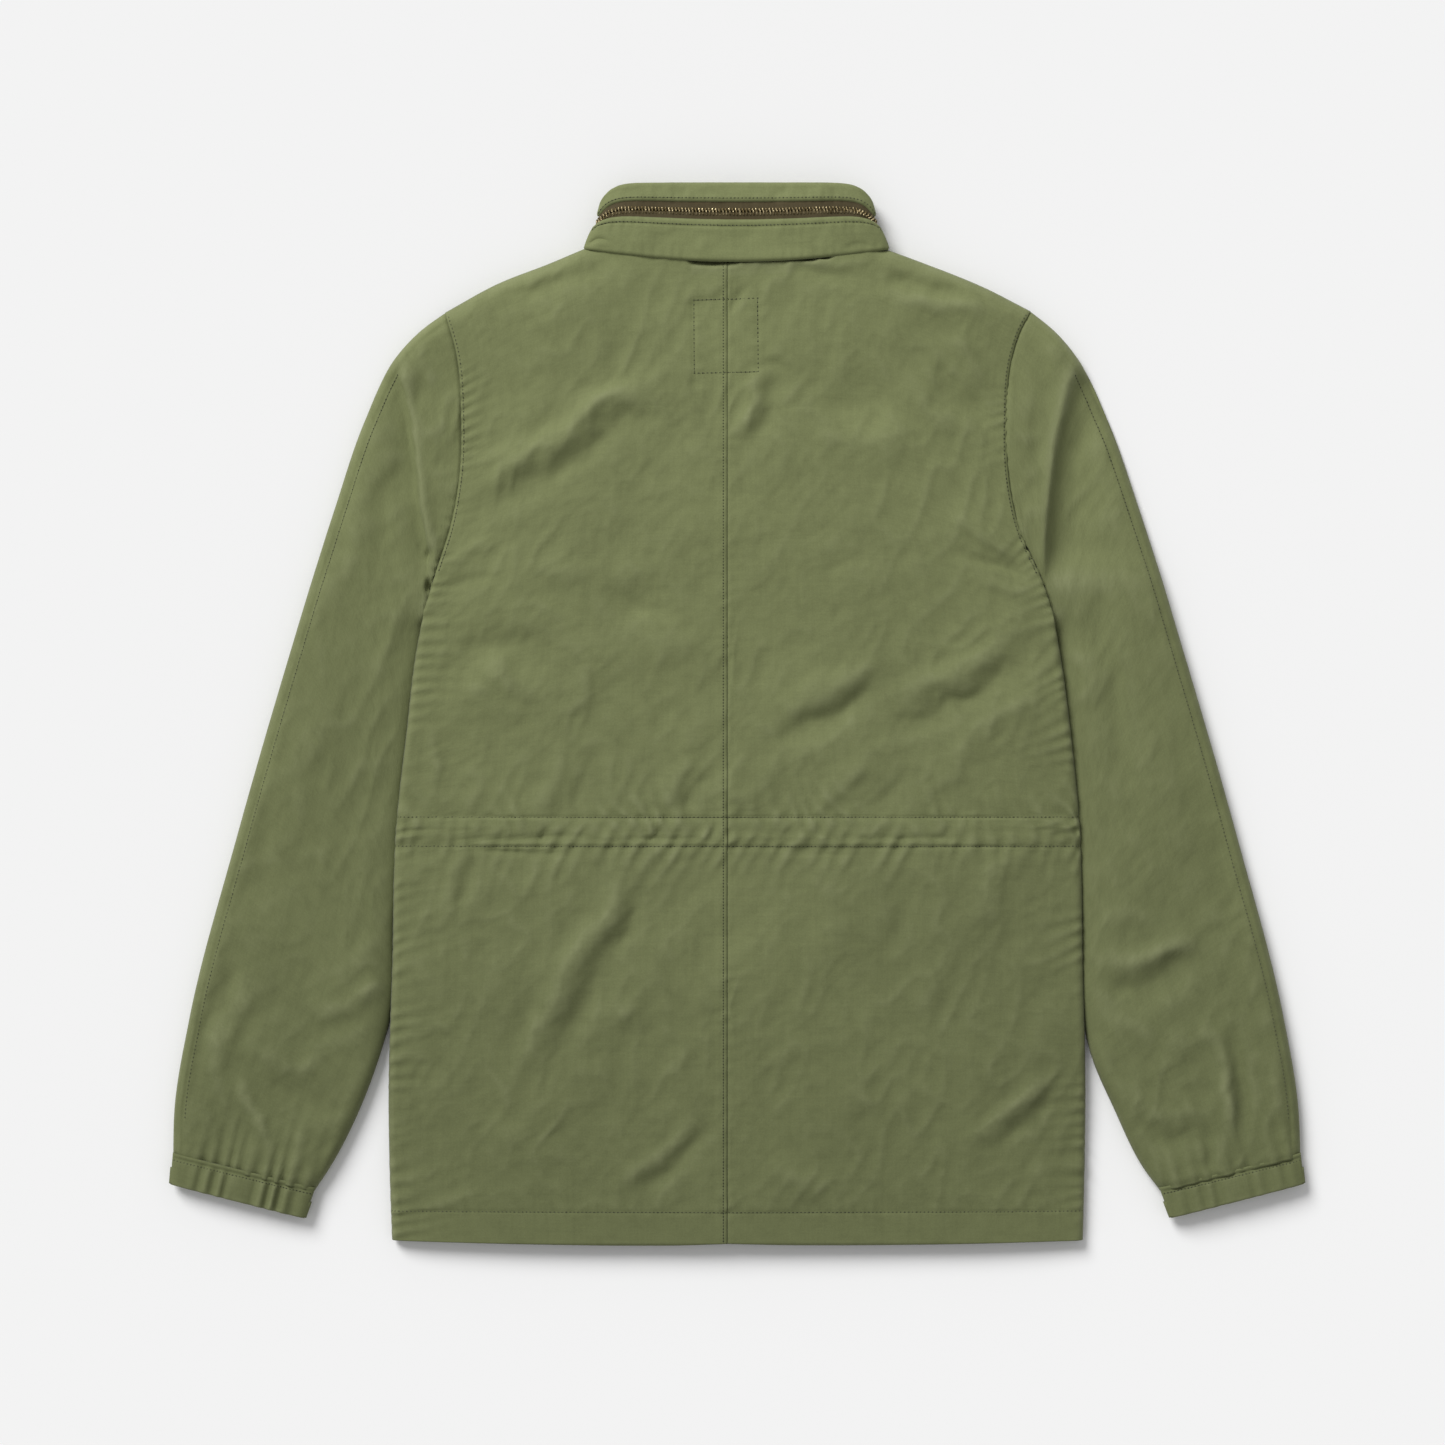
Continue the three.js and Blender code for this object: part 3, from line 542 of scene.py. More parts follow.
def threads(nodes, links, direction, pitch):        # one set of parallel yarns
    wave = nodes.new("ShaderNodeTexWave")
    wave.bands_direction = direction
    wave.inputs["Scale"].default_value = 2 * math.pi / 20 / pitch
    wave.inputs["Distortion"].default_value = 1.2
    wave.inputs["Detail"].default_value = 1
    wave.inputs["Detail Scale"].default_value = 0.4
    links.new(scaledUv(nodes, links, (1, 1, 1)), wave.inputs["Vector"])
    return wave.outputs["Fac"]


def bumpOf(nodes, links, height, strength, distance, before=None):
    node = nodes.new("ShaderNodeBump")
    node.inputs["Strength"].default_value = strength
    node.inputs["Distance"].default_value = distance
    links.new(height, node.inputs["Height"])
    if before is not None:
        links.new(before, node.inputs["Normal"])
    return node.outputs[0]


clothLooks = {        # linear colour, shade of the worn ridges, yarn pitch in mm, roughness, sheen
    "shellCloth": dict(colour=(0.168, 0.188, 0.0785), worn=(0.235, 0.252, 0.132), pitch=0.62, rough=0.82,
                       sheen=0.08, mottle=0.13, streak=0.035),
    "liningCloth": dict(colour=(0.098, 0.112, 0.054), worn=(0.130, 0.142, 0.080), pitch=0.50, rough=0.86,
                        sheen=0.06, mottle=0.10, streak=0.08),
    "tapeCloth": dict(colour=(0.078, 0.060, 0.026), worn=(0.135, 0.110, 0.060), pitch=0.95, rough=0.80,
                      sheen=0.10, mottle=0.14, streak=0.12),
    "elasticCloth": dict(colour=(0.66, 0.61, 0.50), worn=(0.76, 0.72, 0.62), pitch=1.3, rough=0.85,
                         sheen=0.08, mottle=0.10, streak=0.10),
    "labelCloth": dict(colour=(0.020, 0.022, 0.018), worn=(0.050, 0.052, 0.046), pitch=0.42, rough=0.70,
                       sheen=0.20, mottle=0.08, streak=0.06),
}


# painted light on the shell cloth: a colour gradient set by position, lighter towards the top and upper left,
# darker towards the sides and hem
paintedLightLook = dict(outward=0.42, across=0.08, stops=((-0.42, 0.80), (-0.25, 0.87), (0.06, 1.04), (0.34, 1.13)))


def paintedLightRamp(nodes, links):
    place = nodes.new("ShaderNodeTexCoord")
    apart = nodes.new("ShaderNodeSeparateXYZ")
    links.new(place.outputs["Object"], apart.inputs[0])
    steps = []
    for operation, first, second in (("ABSOLUTE", apart.outputs["X"], None),
                                     ("MULTIPLY", None, -paintedLightLook["outward"]),
                                     ("MULTIPLY", apart.outputs["X"], -paintedLightLook["across"])):
        node = nodes.new("ShaderNodeMath")
        node.operation = operation
        links.new(first if first is not None else steps[-1].outputs[0], node.inputs[0])
        if second is not None:
            node.inputs[1].default_value = second
        steps.append(node)
    total = apart.outputs["Y"]
    for part in steps[1:]:
        add = nodes.new("ShaderNodeMath")
        add.operation = "ADD"
        links.new(total, add.inputs[0])
        links.new(part.outputs[0], add.inputs[1])
        total = add.outputs[0]
    stops = paintedLightLook["stops"]
    low, high = stops[0][0], stops[-1][0]
    spanned = nodes.new("ShaderNodeMapRange")
    spanned.inputs["From Min"].default_value = low
    spanned.inputs["From Max"].default_value = high
    links.new(total, spanned.inputs["Value"])
    shares = [((at - low) / (high - low), level) for at, level in stops]
    return rampOf(nodes, links, spanned.outputs["Result"], shares)


def clothMaterial(name):        # woven cloth: yarns, slubs, uneven dye, worn ridges and a dusty sheen
    look = clothLooks[name]
    material, nodes, links, shader = newMaterial(name)
    flat = scaledUv(nodes, links, (1, 1, 1))
    broad = noiseOf(nodes, links, flat, 7, 3)
    fine = noiseOf(nodes, links, flat, 70, 6, 0.7)
    slubX = noiseOf(nodes, links, scaledUv(nodes, links, (26, 520, 1)), 1, 2)
    slubY = noiseOf(nodes, links, scaledUv(nodes, links, (420, 20, 1)), 1, 2)
    grain = noiseOf(nodes, links, flat, 900, 2, 0.6)
    colour = (*look["colour"], 1)
    m, k = look["mottle"], look["streak"]
    for uneven, stops in ((broad, ((0.3, 1 - m * 0.5), (0.7, 1 + m * 0.3))),
                          (fine, ((0.25, 1 - m), (0.5, 1.0), (0.8, 1 + m * 0.5))),
                          (slubX, ((0.3, 1 - k), (0.7, 1 + k * 0.5))),
                          (slubY, ((0.3, 1 - k), (0.7, 1 + k * 0.5))),
                          (grain, ((0.25, 0.90), (0.75, 1.06)))):
        colour = mixColour(nodes, links, 1.0, colour, rampOf(nodes, links, uneven, stops), "MULTIPLY")
    if name == "shellCloth":        # painted light: lighter towards the top and the upper left, where the key light comes from, darker towards the hem and sleeves
        colour = mixColour(nodes, links, 1.0, colour, paintedLightRamp(nodes, links), "MULTIPLY")
    wear = nodes.new("ShaderNodeAttribute")
    wear.attribute_name = "wear"
    patchy = nodes.new("ShaderNodeMath")
    patchy.operation = "MULTIPLY"
    links.new(wear.outputs["Fac"], patchy.inputs[0])
    links.new(rampOf(nodes, links, fine, ((0.3, 0.35), (0.7, 1.0))), patchy.inputs[1])
    colour = mixColour(nodes, links, patchy.outputs[0], colour, (*look["worn"], 1))
    links.new(colour, shader.inputs["Base Color"])
    weave = nodes.new("ShaderNodeMath")
    weave.operation = "MAXIMUM"
    links.new(threads(nodes, links, "X", look["pitch"] * mm), weave.inputs[0])
    links.new(threads(nodes, links, "Y", look["pitch"] * mm * 0.9), weave.inputs[1])
    normal = bumpOf(nodes, links, weave.outputs[0], 0.35, 0.00012)
    normal = bumpOf(nodes, links, noiseOf(nodes, links, flat, 260, 4, 0.6), 0.30, 0.0006, normal)
    links.new(normal, shader.inputs["Normal"])
    dullness = rampOf(nodes, links, fine, ((0.2, look["rough"] + 0.08), (0.8, look["rough"] - 0.06)))
    links.new(dullness, shader.inputs["Roughness"])
    shader.inputs["Specular IOR Level"].default_value = 0.28
    shader.inputs["Sheen Weight"].default_value = look["sheen"]
    shader.inputs["Sheen Roughness"].default_value = 0.45
    return material


def brassMaterial():        # aged brass: dull in the hollows, rubbed bright in places
    material, nodes, links, shader = newMaterial("agedBrass")
    place = nodes.new("ShaderNodeTexCoord")
    cloudy = noiseOf(nodes, links, place.outputs["Object"], 420, 5, 0.65)
    scratch = noiseOf(nodes, links, place.outputs["Object"], 2600, 3, 0.6)
    rubbed = rampOf(nodes, links, cloudy, ((0.44, 0.0), (0.66, 1.0)))
    colour = mixColour(nodes, links, rubbed, (0.13, 0.098, 0.042, 1), (0.60, 0.50, 0.29, 1))
    links.new(colour, shader.inputs["Base Color"])
    shader.inputs["Metallic"].default_value = 0.92
    links.new(rampOf(nodes, links, cloudy, ((0.3, 0.52), (0.7, 0.30))), shader.inputs["Roughness"])
    links.new(bumpOf(nodes, links, scratch, 0.25, 0.00008), shader.inputs["Normal"])
    return material


def threadMaterial(name, colour, rough):
    material, nodes, links, shader = newMaterial(name)
    place = nodes.new("ShaderNodeTexCoord")
    uneven = noiseOf(nodes, links, place.outputs["Object"], 500, 3)
    dark = tuple(c * 0.75 for c in colour)
    links.new(mixColour(nodes, links, uneven, (*dark, 1), (*colour, 1)), shader.inputs["Base Color"])
    twist = nodes.new("ShaderNodeTexWave")
    twist.bands_direction = "DIAGONAL"
    twist.inputs["Scale"].default_value = 700
    links.new(place.outputs["Object"], twist.inputs["Vector"])
    links.new(bumpOf(nodes, links, twist.outputs["Fac"], 0.4, 0.0001), shader.inputs["Normal"])
    shader.inputs["Roughness"].default_value = rough
    return material


cloths = {name: clothMaterial(name) for name in clothLooks}
brass = brassMaterial()
sewingThread = threadMaterial("sewingThread", (0.120, 0.132, 0.062), 0.7)
# painted shade: the near-black colour of flat discs that stand for the shadow in the needle holes
holeShadeDisc = threadMaterial("holeShadeDisc", (0.030, 0.034, 0.014), 0.9)
print("materials made")


# Cloth pieces

def patch(bottom, top, inner, outer):        # a grid between four meeting curves, rows from bottom to top
    u = bottom[1][None, :, None]
    v = inner[1][:, None, None]
    low, high = evenly(bottom[0], bottom[1]), evenly(top[0], bottom[1])
    near, far = evenly(inner[0], inner[1]), evenly(outer[0], inner[1])
    grid = (1 - v) * low[None] + v * high[None] + (1 - u) * near[:, None] + u * far[:, None]
    corners = (1 - u) * ((1 - v) * low[0] + v * high[0]) + u * ((1 - v) * low[-1] + v * high[-1])
    return grid - corners


def gridNormals(grid, ring):
    across = np.roll(grid, -1, 1) - np.roll(grid, 1, 1) if ring else np.gradient(grid, axis=1)
    up = np.gradient(grid, axis=0)
    normal = np.cross(across, up)
    return normal / np.maximum(np.linalg.norm(normal, axis=2, keepdims=True), 1e-9)


def clothPiece(name, grid, thickness, material, ring=False, flip=False, wear=None):
    # grid is rows by columns of outer surface points; a ring's columns close on themselves
    grid = np.asarray(grid, float)
    rows, columns = grid.shape[:2]
    normal = gridNormals(grid, ring)
    if flip:
        normal = -normal
    inside = grid - thickness * normal
    number = np.arange(rows * columns).reshape(rows, columns)
    offset = rows * columns
    nextColumn = np.roll(number, -1, 1) if ring else number[:, 1:]
    here = number if ring else number[:, :-1]
    a, b, c, d = here[:-1], nextColumn[:-1], nextColumn[1:], here[1:]
    outer = np.stack([a, b, c, d], -1).reshape(-1, 4)
    inner = outer[:, ::-1] + offset
    rims = [np.stack([nextColumn[0], here[0], here[0] + offset, nextColumn[0] + offset], -1),
            np.stack([here[-1], nextColumn[-1], nextColumn[-1] + offset, here[-1] + offset], -1)]
    if not ring:
        for a, b in ((number[:-1, 0], number[1:, 0]), (number[1:, -1], number[:-1, -1])):
            rims.append(np.stack([a, b, b + offset, a + offset], -1))
    faces = np.concatenate([outer, inner, *rims])
    if flip:
        faces = faces[:, ::-1]
    points = np.concatenate([grid.reshape(-1, 3), inside.reshape(-1, 3)]) * mm
    mesh = bpy.data.meshes.new(name)
    mesh.vertices.add(len(points))
    mesh.vertices.foreach_set("co", points.astype(np.float32).ravel())
    mesh.loops.add(faces.size)
    mesh.loops.foreach_set("vertex_index", faces.astype(np.int32).ravel())
    mesh.polygons.add(len(faces))
    mesh.polygons.foreach_set("loop_start", np.arange(0, faces.size, 4, dtype=np.int32))
    mesh.polygons.foreach_set("use_smooth", np.ones(len(faces), bool))
    mesh.update(calc_edges=True)
    stepAcross = np.linalg.norm(np.diff(grid, axis=1), axis=2).mean(axis=0)
    stepUp = np.linalg.norm(np.diff(grid, axis=0), axis=2).mean(axis=1)
    u, v = np.meshgrid(np.r_[0, np.cumsum(stepAcross)], np.r_[0, np.cumsum(stepUp)])
    flat = np.stack([u, v], -1).reshape(-1, 2) * mm
    flat = np.concatenate([flat, flat])
    uv = mesh.uv_layers.new(name="cloth")
    uv.data.foreach_set("uv", flat[faces.ravel()].astype(np.float32).ravel())
    level = np.zeros(grid.shape[:2]) if wear is None else np.clip(wear, 0, 1)
    attribute = mesh.attributes.new("wear", "FLOAT", "POINT")
    levels = np.concatenate([level.ravel(), 0.3 * level.ravel()])        # less on the inside
    attribute.data.foreach_set("value", levels.astype(np.float32))
    mesh.materials.append(material)
    piece = bpy.data.objects.new(name, mesh)
    bpy.context.scene.collection.objects.link(piece)
    return piece


def wearOf(grid, scale=0.35):        # ridges rub pale: how far a point stands over its surroundings
    z = np.pad(grid[..., 2], 4, mode="edge")
    rows, columns = grid.shape[:2]
    around = grid[..., 2].copy()
    for shift in (2, 4):
        for dy, dx in ((shift, 0), (-shift, 0), (0, shift), (0, -shift)):
            around = around + z[4 + dy: 4 + dy + rows, 4 + dx: 4 + dx + columns]
    return np.clip((grid[..., 2] - around / 9) * scale, 0, 0.6)


def settle(piece, body, slot, *nodes):
    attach(piece, body)
    if nodes:
        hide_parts(*nodes)
    return piece


# The back's two halves

# points of every stitch line, by body
stitchPaths = {"torso": [], "left_sleeve": [], "right_sleeve": []}


def makeBack(side):
    look = backLook
    s = sideSign[side]
    across = spread(look["width"], look["step"], ((1.5, 3, 0.9), (look["width"], 5, 0.9)))
    # finer rows at the edges and stitches
    fine = ((0, 4, 0.8), (23.5, 1.5, 1.1), (299, 2, 1.0), (320.5, 2, 1.0), (736, 6, 1.3))
    up = spread(look["rise"], look["step"], fine)
    middle = np.array([(centreX, -396.0), (centreX, 352.0)])
    own = lines[side]
    flat = patch((own["hem"], across), (own["top"], None), (middle, up), (own["edge"], None))
    x, y = flat[..., 0], flat[..., 1]
    grid = np.dstack([x, y, backHeight(side, x, y)])
    wear = wearOf(grid) + 0.25 * bump(np.abs(edgeX(side, y)) - np.abs(x), 0, 2.5) * (1 - soften(60, 90, y))
    piece = clothPiece("back_" + side, grid, look["thickness"], cloths["shellCloth"], flip=s < 0, wear=wear)
    settle(piece, "torso", "shell_cloth", "back_panel_" + side)


for side in ("left", "right"):
    makeBack(side)
print("back made")


# Sleeves

sleeveLook = dict(
    height=15.5,         # top of the sleeve over the floor
    headHeight=16.5,
    cuffHeight=15,
    floor=0.9,           # underside over the floor
    edgeHeight=6.0,      # where top and underside meet at the outer fold
    innerHeight=3.2,     # the inner edge is tucked under the body
    edgeRadius=15,
    thickness=1.2,
    step=2.5,
    folds=1.25, crumple=1.35,
    stepDepth=dict(left=8.5, right=15.0),       # how far the cloth drops beside the lying fold
    stepReach=dict(left=20, right=50),          # and how far out it rises again
    stepRun=dict(left=2.5, right=8.0),          # how quickly the fold's far side falls away
    tuckReach=dict(left=14, right=46),          # how far the sleeve sinks beside the body
    width=135, rise=470,
    bendFrom=226, bendTo=264,        # the cloth beside the armhole bends between these widths
    openings=((-231.2, 121.5, 3.6), (-231.6, 97, 4.4)),        # small gaps on the left: x, y and half length
    seed=57,
)

sleeveFolds = {
    "left": [
        ([(-228, 272), (-236, 240), (-238, 205), (-232, 172)], 6, -1.8, 0.2),
        ([(-244, 290), (-232, 262), (-226, 240)], 7, 1.0, 0.1),
        ([(-182, 236), (-190, 214), (-196, 196)], 4, 1.2, -0.2),
        ([(-212, 222), (-224, 214), (-234, 200)], 3.5, 0.9, 0.1),
        ([(-212, 186), (-222, 180), (-232, 182)], 3.5, 0.9, 0.1),
        ([(-286, 205), (-300, 160), (-322, 90)], 9, -1.3, 0.1),
        ([(-262, 230), (-276, 180), (-296, 110), (-312, 50)], 14, 1.9, -0.1),
        ([(-252, 200), (-260, 150), (-266, 100)], 10, -2.0, 0.1),
        ([(-248, 96), (-262, 60), (-270, 10)], 10, 1.5, 0.2),
        ([(-300, 40), (-322, -30), (-340, -110)], 16, 1.4, 0.1),
        ([(-340, -40), (-362, -120), (-384, -200)], 13, -1.5, -0.1),
        ([(-268, -30), (-285, -90), (-300, -150)], 13, -1.2, 0.1),
        ([(-262, -196), (-284, -216), (-322, -226)], 10, 2.6, -0.35),
        ([(-266, -214), (-292, -232), (-328, -238)], 8, -2.4, 0.2),
        ([(-258, -170), (-280, -180), (-312, -204)], 9, 1.2, 0.1),
        ([(-362, -176), (-392, -226), (-404, -300)], 9, -2.4, 0.2),
        ([(-348, -190), (-378, -236), (-390, -300)], 10, 1.8, 0.2),
        ([(-300, -252), (-330, -262), (-372, -250)], 11, 1.5, 0.1),
        ([(-292, -290), (-326, -292), (-352, -272)], 9, -1.8, 0.2),
        ([(-372, -262), (-362, -296), (-352, -334)], 7, 2.0, 0.2),
        ([(-396, -272), (-388, -300), (-386, -334)], 6, -1.8, 0.1),
        ([(-318, -306), (-326, -326), (-336, -346)], 6, 1.7, 0.2),
        ([(-300, -312), (-310, -330), (-322, -350)], 5, -1.4, 0.2),
    ],
    "right": [
        ([(228, 274), (228, 240), (222, 205), (222, 172)], 6, -1.3, -0.2),
        ([(240, 288), (236, 262), (228, 236)], 7, 1.2, 0.1),
        ([(206, 214), (218, 208), (230, 212)], 3.5, 1.0, 0.1),
        ([(206, 180), (217, 172), (228, 172)], 3.5, -0.9, 0.1),
        ([(212, 150), (222, 152), (230, 158)], 3.5, 0.9, 0.1),
        ([(286, 200), (300, 150), (318, 92)], 10, -1.0, 0.1),
        ([(268, 222), (284, 160), (304, 90), (322, 20)], 15, 1.9, 0.1),
        ([(262, 120), (276, 60), (282, 0), (296, -70)], 9, -2.0, 0.1),
        ([(252, 60), (262, 10), (270, -50)], 8, 1.4, -0.2),
        ([(300, 20), (322, -50), (338, -120)], 16, 1.4, 0.1),
        ([(344, -30), (366, -110), (384, -190)], 13, -1.3, 0.1),
        ([(272, -178), (308, -186), (352, -152)], 9, 2.6, -0.3),
        ([(268, -196), (306, -206), (356, -172)], 9, -2.5, 0.2),
        ([(268, -160), (290, -150), (318, -150)], 8, 1.2, 0.1),
        ([(276, -220), (310, -240), (348, -236)], 11, 1.4, 0.1),
        ([(362, -226), (376, -262), (386, -318)], 6, -2.8, 0.3),
        ([(352, -228), (364, -264), (374, -322)], 7, 2.2, 0.2),
        ([(398, -232), (404, -270), (404, -320)], 9, 1.5, 0.1),
        ([(288, -280), (316, -302), (352, -292)], 9, 1.7, -0.2),
        ([(296, -296), (322, -320), (352, -312)], 7, -2.0, 0.2),
        ([(312, -316), (322, -334), (334, -350)], 6, 1.7, 0.2),
        ([(350, -306), (352, -326), (356, -346)], 5, -1.6, 0.2),
    ],
}

cuffLook = dict(
    line={"left": ((-317.7, -357.1), (-424.0, -331.0)), "right": ((317.8, -357.0), (423.3, -331.0))},
    edge={"left": ((-325.2, -378.2), (-425.8, -352.6)), "right": ((325.6, -377.6), (425.6, -351.9))},
    half=6.6,            # half its thickness
    long=21.5,           # from the seam to the fold at the wrist
    around=320,          # points round it
    gather=11.5,         # width of one gather
    depth=1.75,
    turnIn=13,           # how far the cloth goes back inside
    thickness=1.1,
)


def nearEdge(line, x, y):        # plain distance from a line
    return np.abs(alongLine(line, x, y)[0])


def cuffFrame(side):        # a corner, the direction along the cuff's seam and the one down the arm
    (ax, ay), (bx, by) = cuffLook["line"][side]
    start, end = np.array((ax, ay)), np.array((bx, by))
    along = (end - start) / np.linalg.norm(end - start)
    down = np.array((along[1], -along[0])) * (1 if side == "right" else -1)
    return start, end, along, down


def upFromCuff(side, x, y):        # how far up the arm a point lies from the cuff's seam
    start, _, _, down = cuffFrame(side)
    return -((x - start[0]) * down[0] + (y - start[1]) * down[1])


def gathers(side, x, y):        # a wave along the cuff, uneven in width and depth
    start, _, along, _ = cuffFrame(side)
    at = (x - start[0]) * along[0] + (y - start[1]) * along[1]
    wave = at + 5.5 * softNoise(at, 0 * at, 17, 71 + sideSign[side])
    size = 0.62 + 0.75 * softNoise(at, 0 * at + 5, 19, 75 + sideSign[side])
    return np.sin(2 * math.pi * wave / cuffLook["gather"]) * size


def sleeveTopHeight(side, x, y):        # the smooth lie of the sleeve's upper side
    look = sleeveLook
    own = lines[side]
    outerGap = nearEdge(own["sleeveOuter"], x, y)
    innerGap = nearEdge(own["sleeveInner"], x, y)
    holeGap = nearEdge(own["armhole"], x, y)
    toCuff = upFromCuff(side, x, y)
    top = mixed(look["height"], look["headHeight"], soften(150, 290, y))
    top = mixed(look["cuffHeight"], top, soften(20, 110, toCuff))
    z = mixed(look["edgeHeight"], top, roundOff(outerGap, look["edgeRadius"]) ** 0.9)
    below = 1 - soften(60, 100, y)        # below the armpit the inner edge lies under the body
    reach = 26 + look["tuckReach"][side] * soften(-190, -40, y)
    tucked = roundOff(innerGap / reach * 26, 26) ** 0.9
    freed = soften(-236, -262, y)         # near the wrist the inner edge is free again
    tucked = mixed(tucked, roundOff(innerGap, 13), freed)
    inner = mixed(look["innerHeight"], look["edgeHeight"], freed)
    z = mixed(z, inner + (z - inner) * tucked, below)
    underBackEdge = backLook["armholeHeight"] - 1.3 - 1.4 * (1 - soften(88, 136, y))
    seamZ = mixed(look["edgeHeight"], underBackEdge, roundOff(outerGap, 15))
    z = mixed(seamZ, z, soften(0, 34, holeGap) * (1 - below) + below * soften(0, 16, holeGap))
    outward = foldSide(side, alongLine(own["fold"], x, y)[0])
    upper = soften(96, 128, y) * (1 - soften(246, 268, y))
    drop = 1 - np.exp(-np.maximum(outward + 1.2, 0) / look["stepRun"][side])
    drop = drop * np.exp(-np.maximum(outward, 0) / look["stepReach"][side])
    return z + upper * (1.8 * bump(outward, -3.5, 5) - look["stepDepth"][side] * drop)


def foldSide(side, signed):        # positive on the far side of the sleeve's lying fold
    return -signed if side == "left" else signed


def sleeveTop(side, x, y):        # the same with its folds, seams and gathers
    look = sleeveLook
    own = lines[side]
    s = sideSign[side]
    z = sleeveTopHeight(side, x, y)
    outerGap = nearEdge(own["sleeveOuter"], x, y)
    innerGap = nearEdge(own["sleeveInner"], x, y)
    calm = (0.25 + 0.75 * soften(0, 16, outerGap)) * (0.2 + 0.8 * soften(0, 20, innerGap))
    creases = look["folds"] * foldHeight(sleeveFolds[side], x, y)
    z = z + (creases + crumple(x, y, look["seed"] + s, look["crumple"])) * calm
    along, across = turned(x, y, -74 * s)        # along the arm and across it
    z = z + 0.28 * sharpNoise(across, along * 0.35, 15, look["seed"] + 3) * calm * soften(-330, -250, y)
    hole = seam(own["armhole"], pucker=0.55, wave=8, reach=7, furrow=0.9, raised=0.0, seed=83)
    z = z + seamHeight(hole, x, y)
    # the seam that runs down just inside the outer fold
    furrow = bump(outerGap, 7.5, 1.2) * soften(-350, -300, y) * 0.38
    z = z - furrow + 0.25 * bump(outerGap, 5, 2)
    toCuff = upFromCuff(side, x, y)
    near = np.exp(-np.clip(toCuff, 0, None) / 24)
    edgeCalm = soften(0, 9, outerGap) * soften(0, 9, innerGap)
    z = z + gathers(side, x, y) * cuffLook["depth"] * near * edgeCalm
    z = z - 1.6 * np.exp(-((toCuff / 4.0) ** 2))
    if side == "left":
        for middleX, middleY, reach in look["openings"]:
            z = z - 6 * np.exp(-(((x - middleX) / 2.3) ** 2 + ((y - middleY) / reach) ** 2))
    return np.maximum(z, look["floor"] + 1.6)


def makeSleeve(side):
    look = sleeveLook
    s = sideSign[side]
    own = lines[side]
    width, rise = look["width"], look["rise"]
    share = spread(width, look["step"], ((0, 3, 0.5), (width, 3, 0.5), (width - 7.5, 2, 0.9)))
    up = spread(rise, look["step"], ((0, 4, 1.0), (rise, 8, 1.2)))
    hole = own["armhole"]
    cuffLine = np.array(cuffLook["line"][side])
    flat = patch((hole, share), (cuffLine, None), (own["sleeveInner"], up), (own["sleeveOuter"], None))
    x, y = flat[..., 0], flat[..., 1]
    top = np.dstack([x, y, sleeveTop(side, x, y)])
    underShare = spread(width, 2 * look["step"], ((0, 3, 0.5), (width, 3, 0.5)))
    flatUnder = patch((hole, underShare), (cuffLine, None),
                      (own["sleeveInner"], up), (own["sleeveOuter"], None))
    ux, uy = flatUnder[..., 0], flatUnder[..., 1]
    outerGap = nearEdge(own["sleeveOuter"], ux, uy)
    innerGap = nearEdge(own["sleeveInner"], ux, uy)
    rim = np.concatenate([top[:, :1, 2], top[:, -1:, 2]], axis=1)
    blendIn = 1 - roundOff(np.minimum(outerGap, innerGap), 9)
    rimZ = mixed(rim[:, :1], rim[:, 1:], underShare[None, :])
    shadeDotLift = 4.5 * np.exp(-nearEdge(hole, ux, uy) / 12)
    underZ = look["floor"] + 0.35 * (1 + softNoise(ux, uy, 26, look["seed"] + 9)) + shadeDotLift
    underZ = np.minimum(mixed(underZ, rimZ, blendIn), sleeveTop(side, ux, uy) - 1.5)
    underZ[:, 0], underZ[:, -1] = top[:, 0, 2], top[:, -1, 2]
    under = np.dstack([ux, uy, underZ])
    grid = np.concatenate([top, under[:, -2:0:-1]], axis=1)
    tuck = grid[:1] + (-s * 3.2, 0, 0)        # a last row goes in under the back's edge
    tuck[..., 2] = np.maximum(tuck[..., 2] - 1.8, 1.6)
    grid = np.concatenate([tuck, grid])
    wear = np.zeros(grid.shape[:2])
    wear[1:, : top.shape[1]] = wearOf(top)
    wear[:, top.shape[1] - 4: top.shape[1] + 3] += 0.18
    piece = clothPiece("sleeve_" + side, grid, look["thickness"], cloths["shellCloth"],
                       ring=True, flip=s > 0, wear=wear)
    return piece, grid


sleeves = {side: makeSleeve(side) for side in ("left", "right")}
print("sleeves made")


# Cuffs

def cuffPoint(side, ring, down):        # ring runs 0 to 1 round the cuff, down is mm below the sleeve
    start, end = cuffFrame(side)[:2]
    lowStart, lowEnd = (np.array(corner) for corner in cuffLook["edge"][side])
    angle = 2 * math.pi * ring
    cosine, sine = np.cos(angle), np.sin(angle)
    across = 0.5 - 0.5 * np.sign(cosine) * np.abs(cosine) ** 0.55
    high = np.sign(sine) * np.abs(sine) ** 0.5
    t = down / np.linalg.norm(lowStart - start)
    corner = mixed(start, lowStart, t)
    other = mixed(end, lowEnd, t)
    return corner + (other - corner) * across[..., None], high


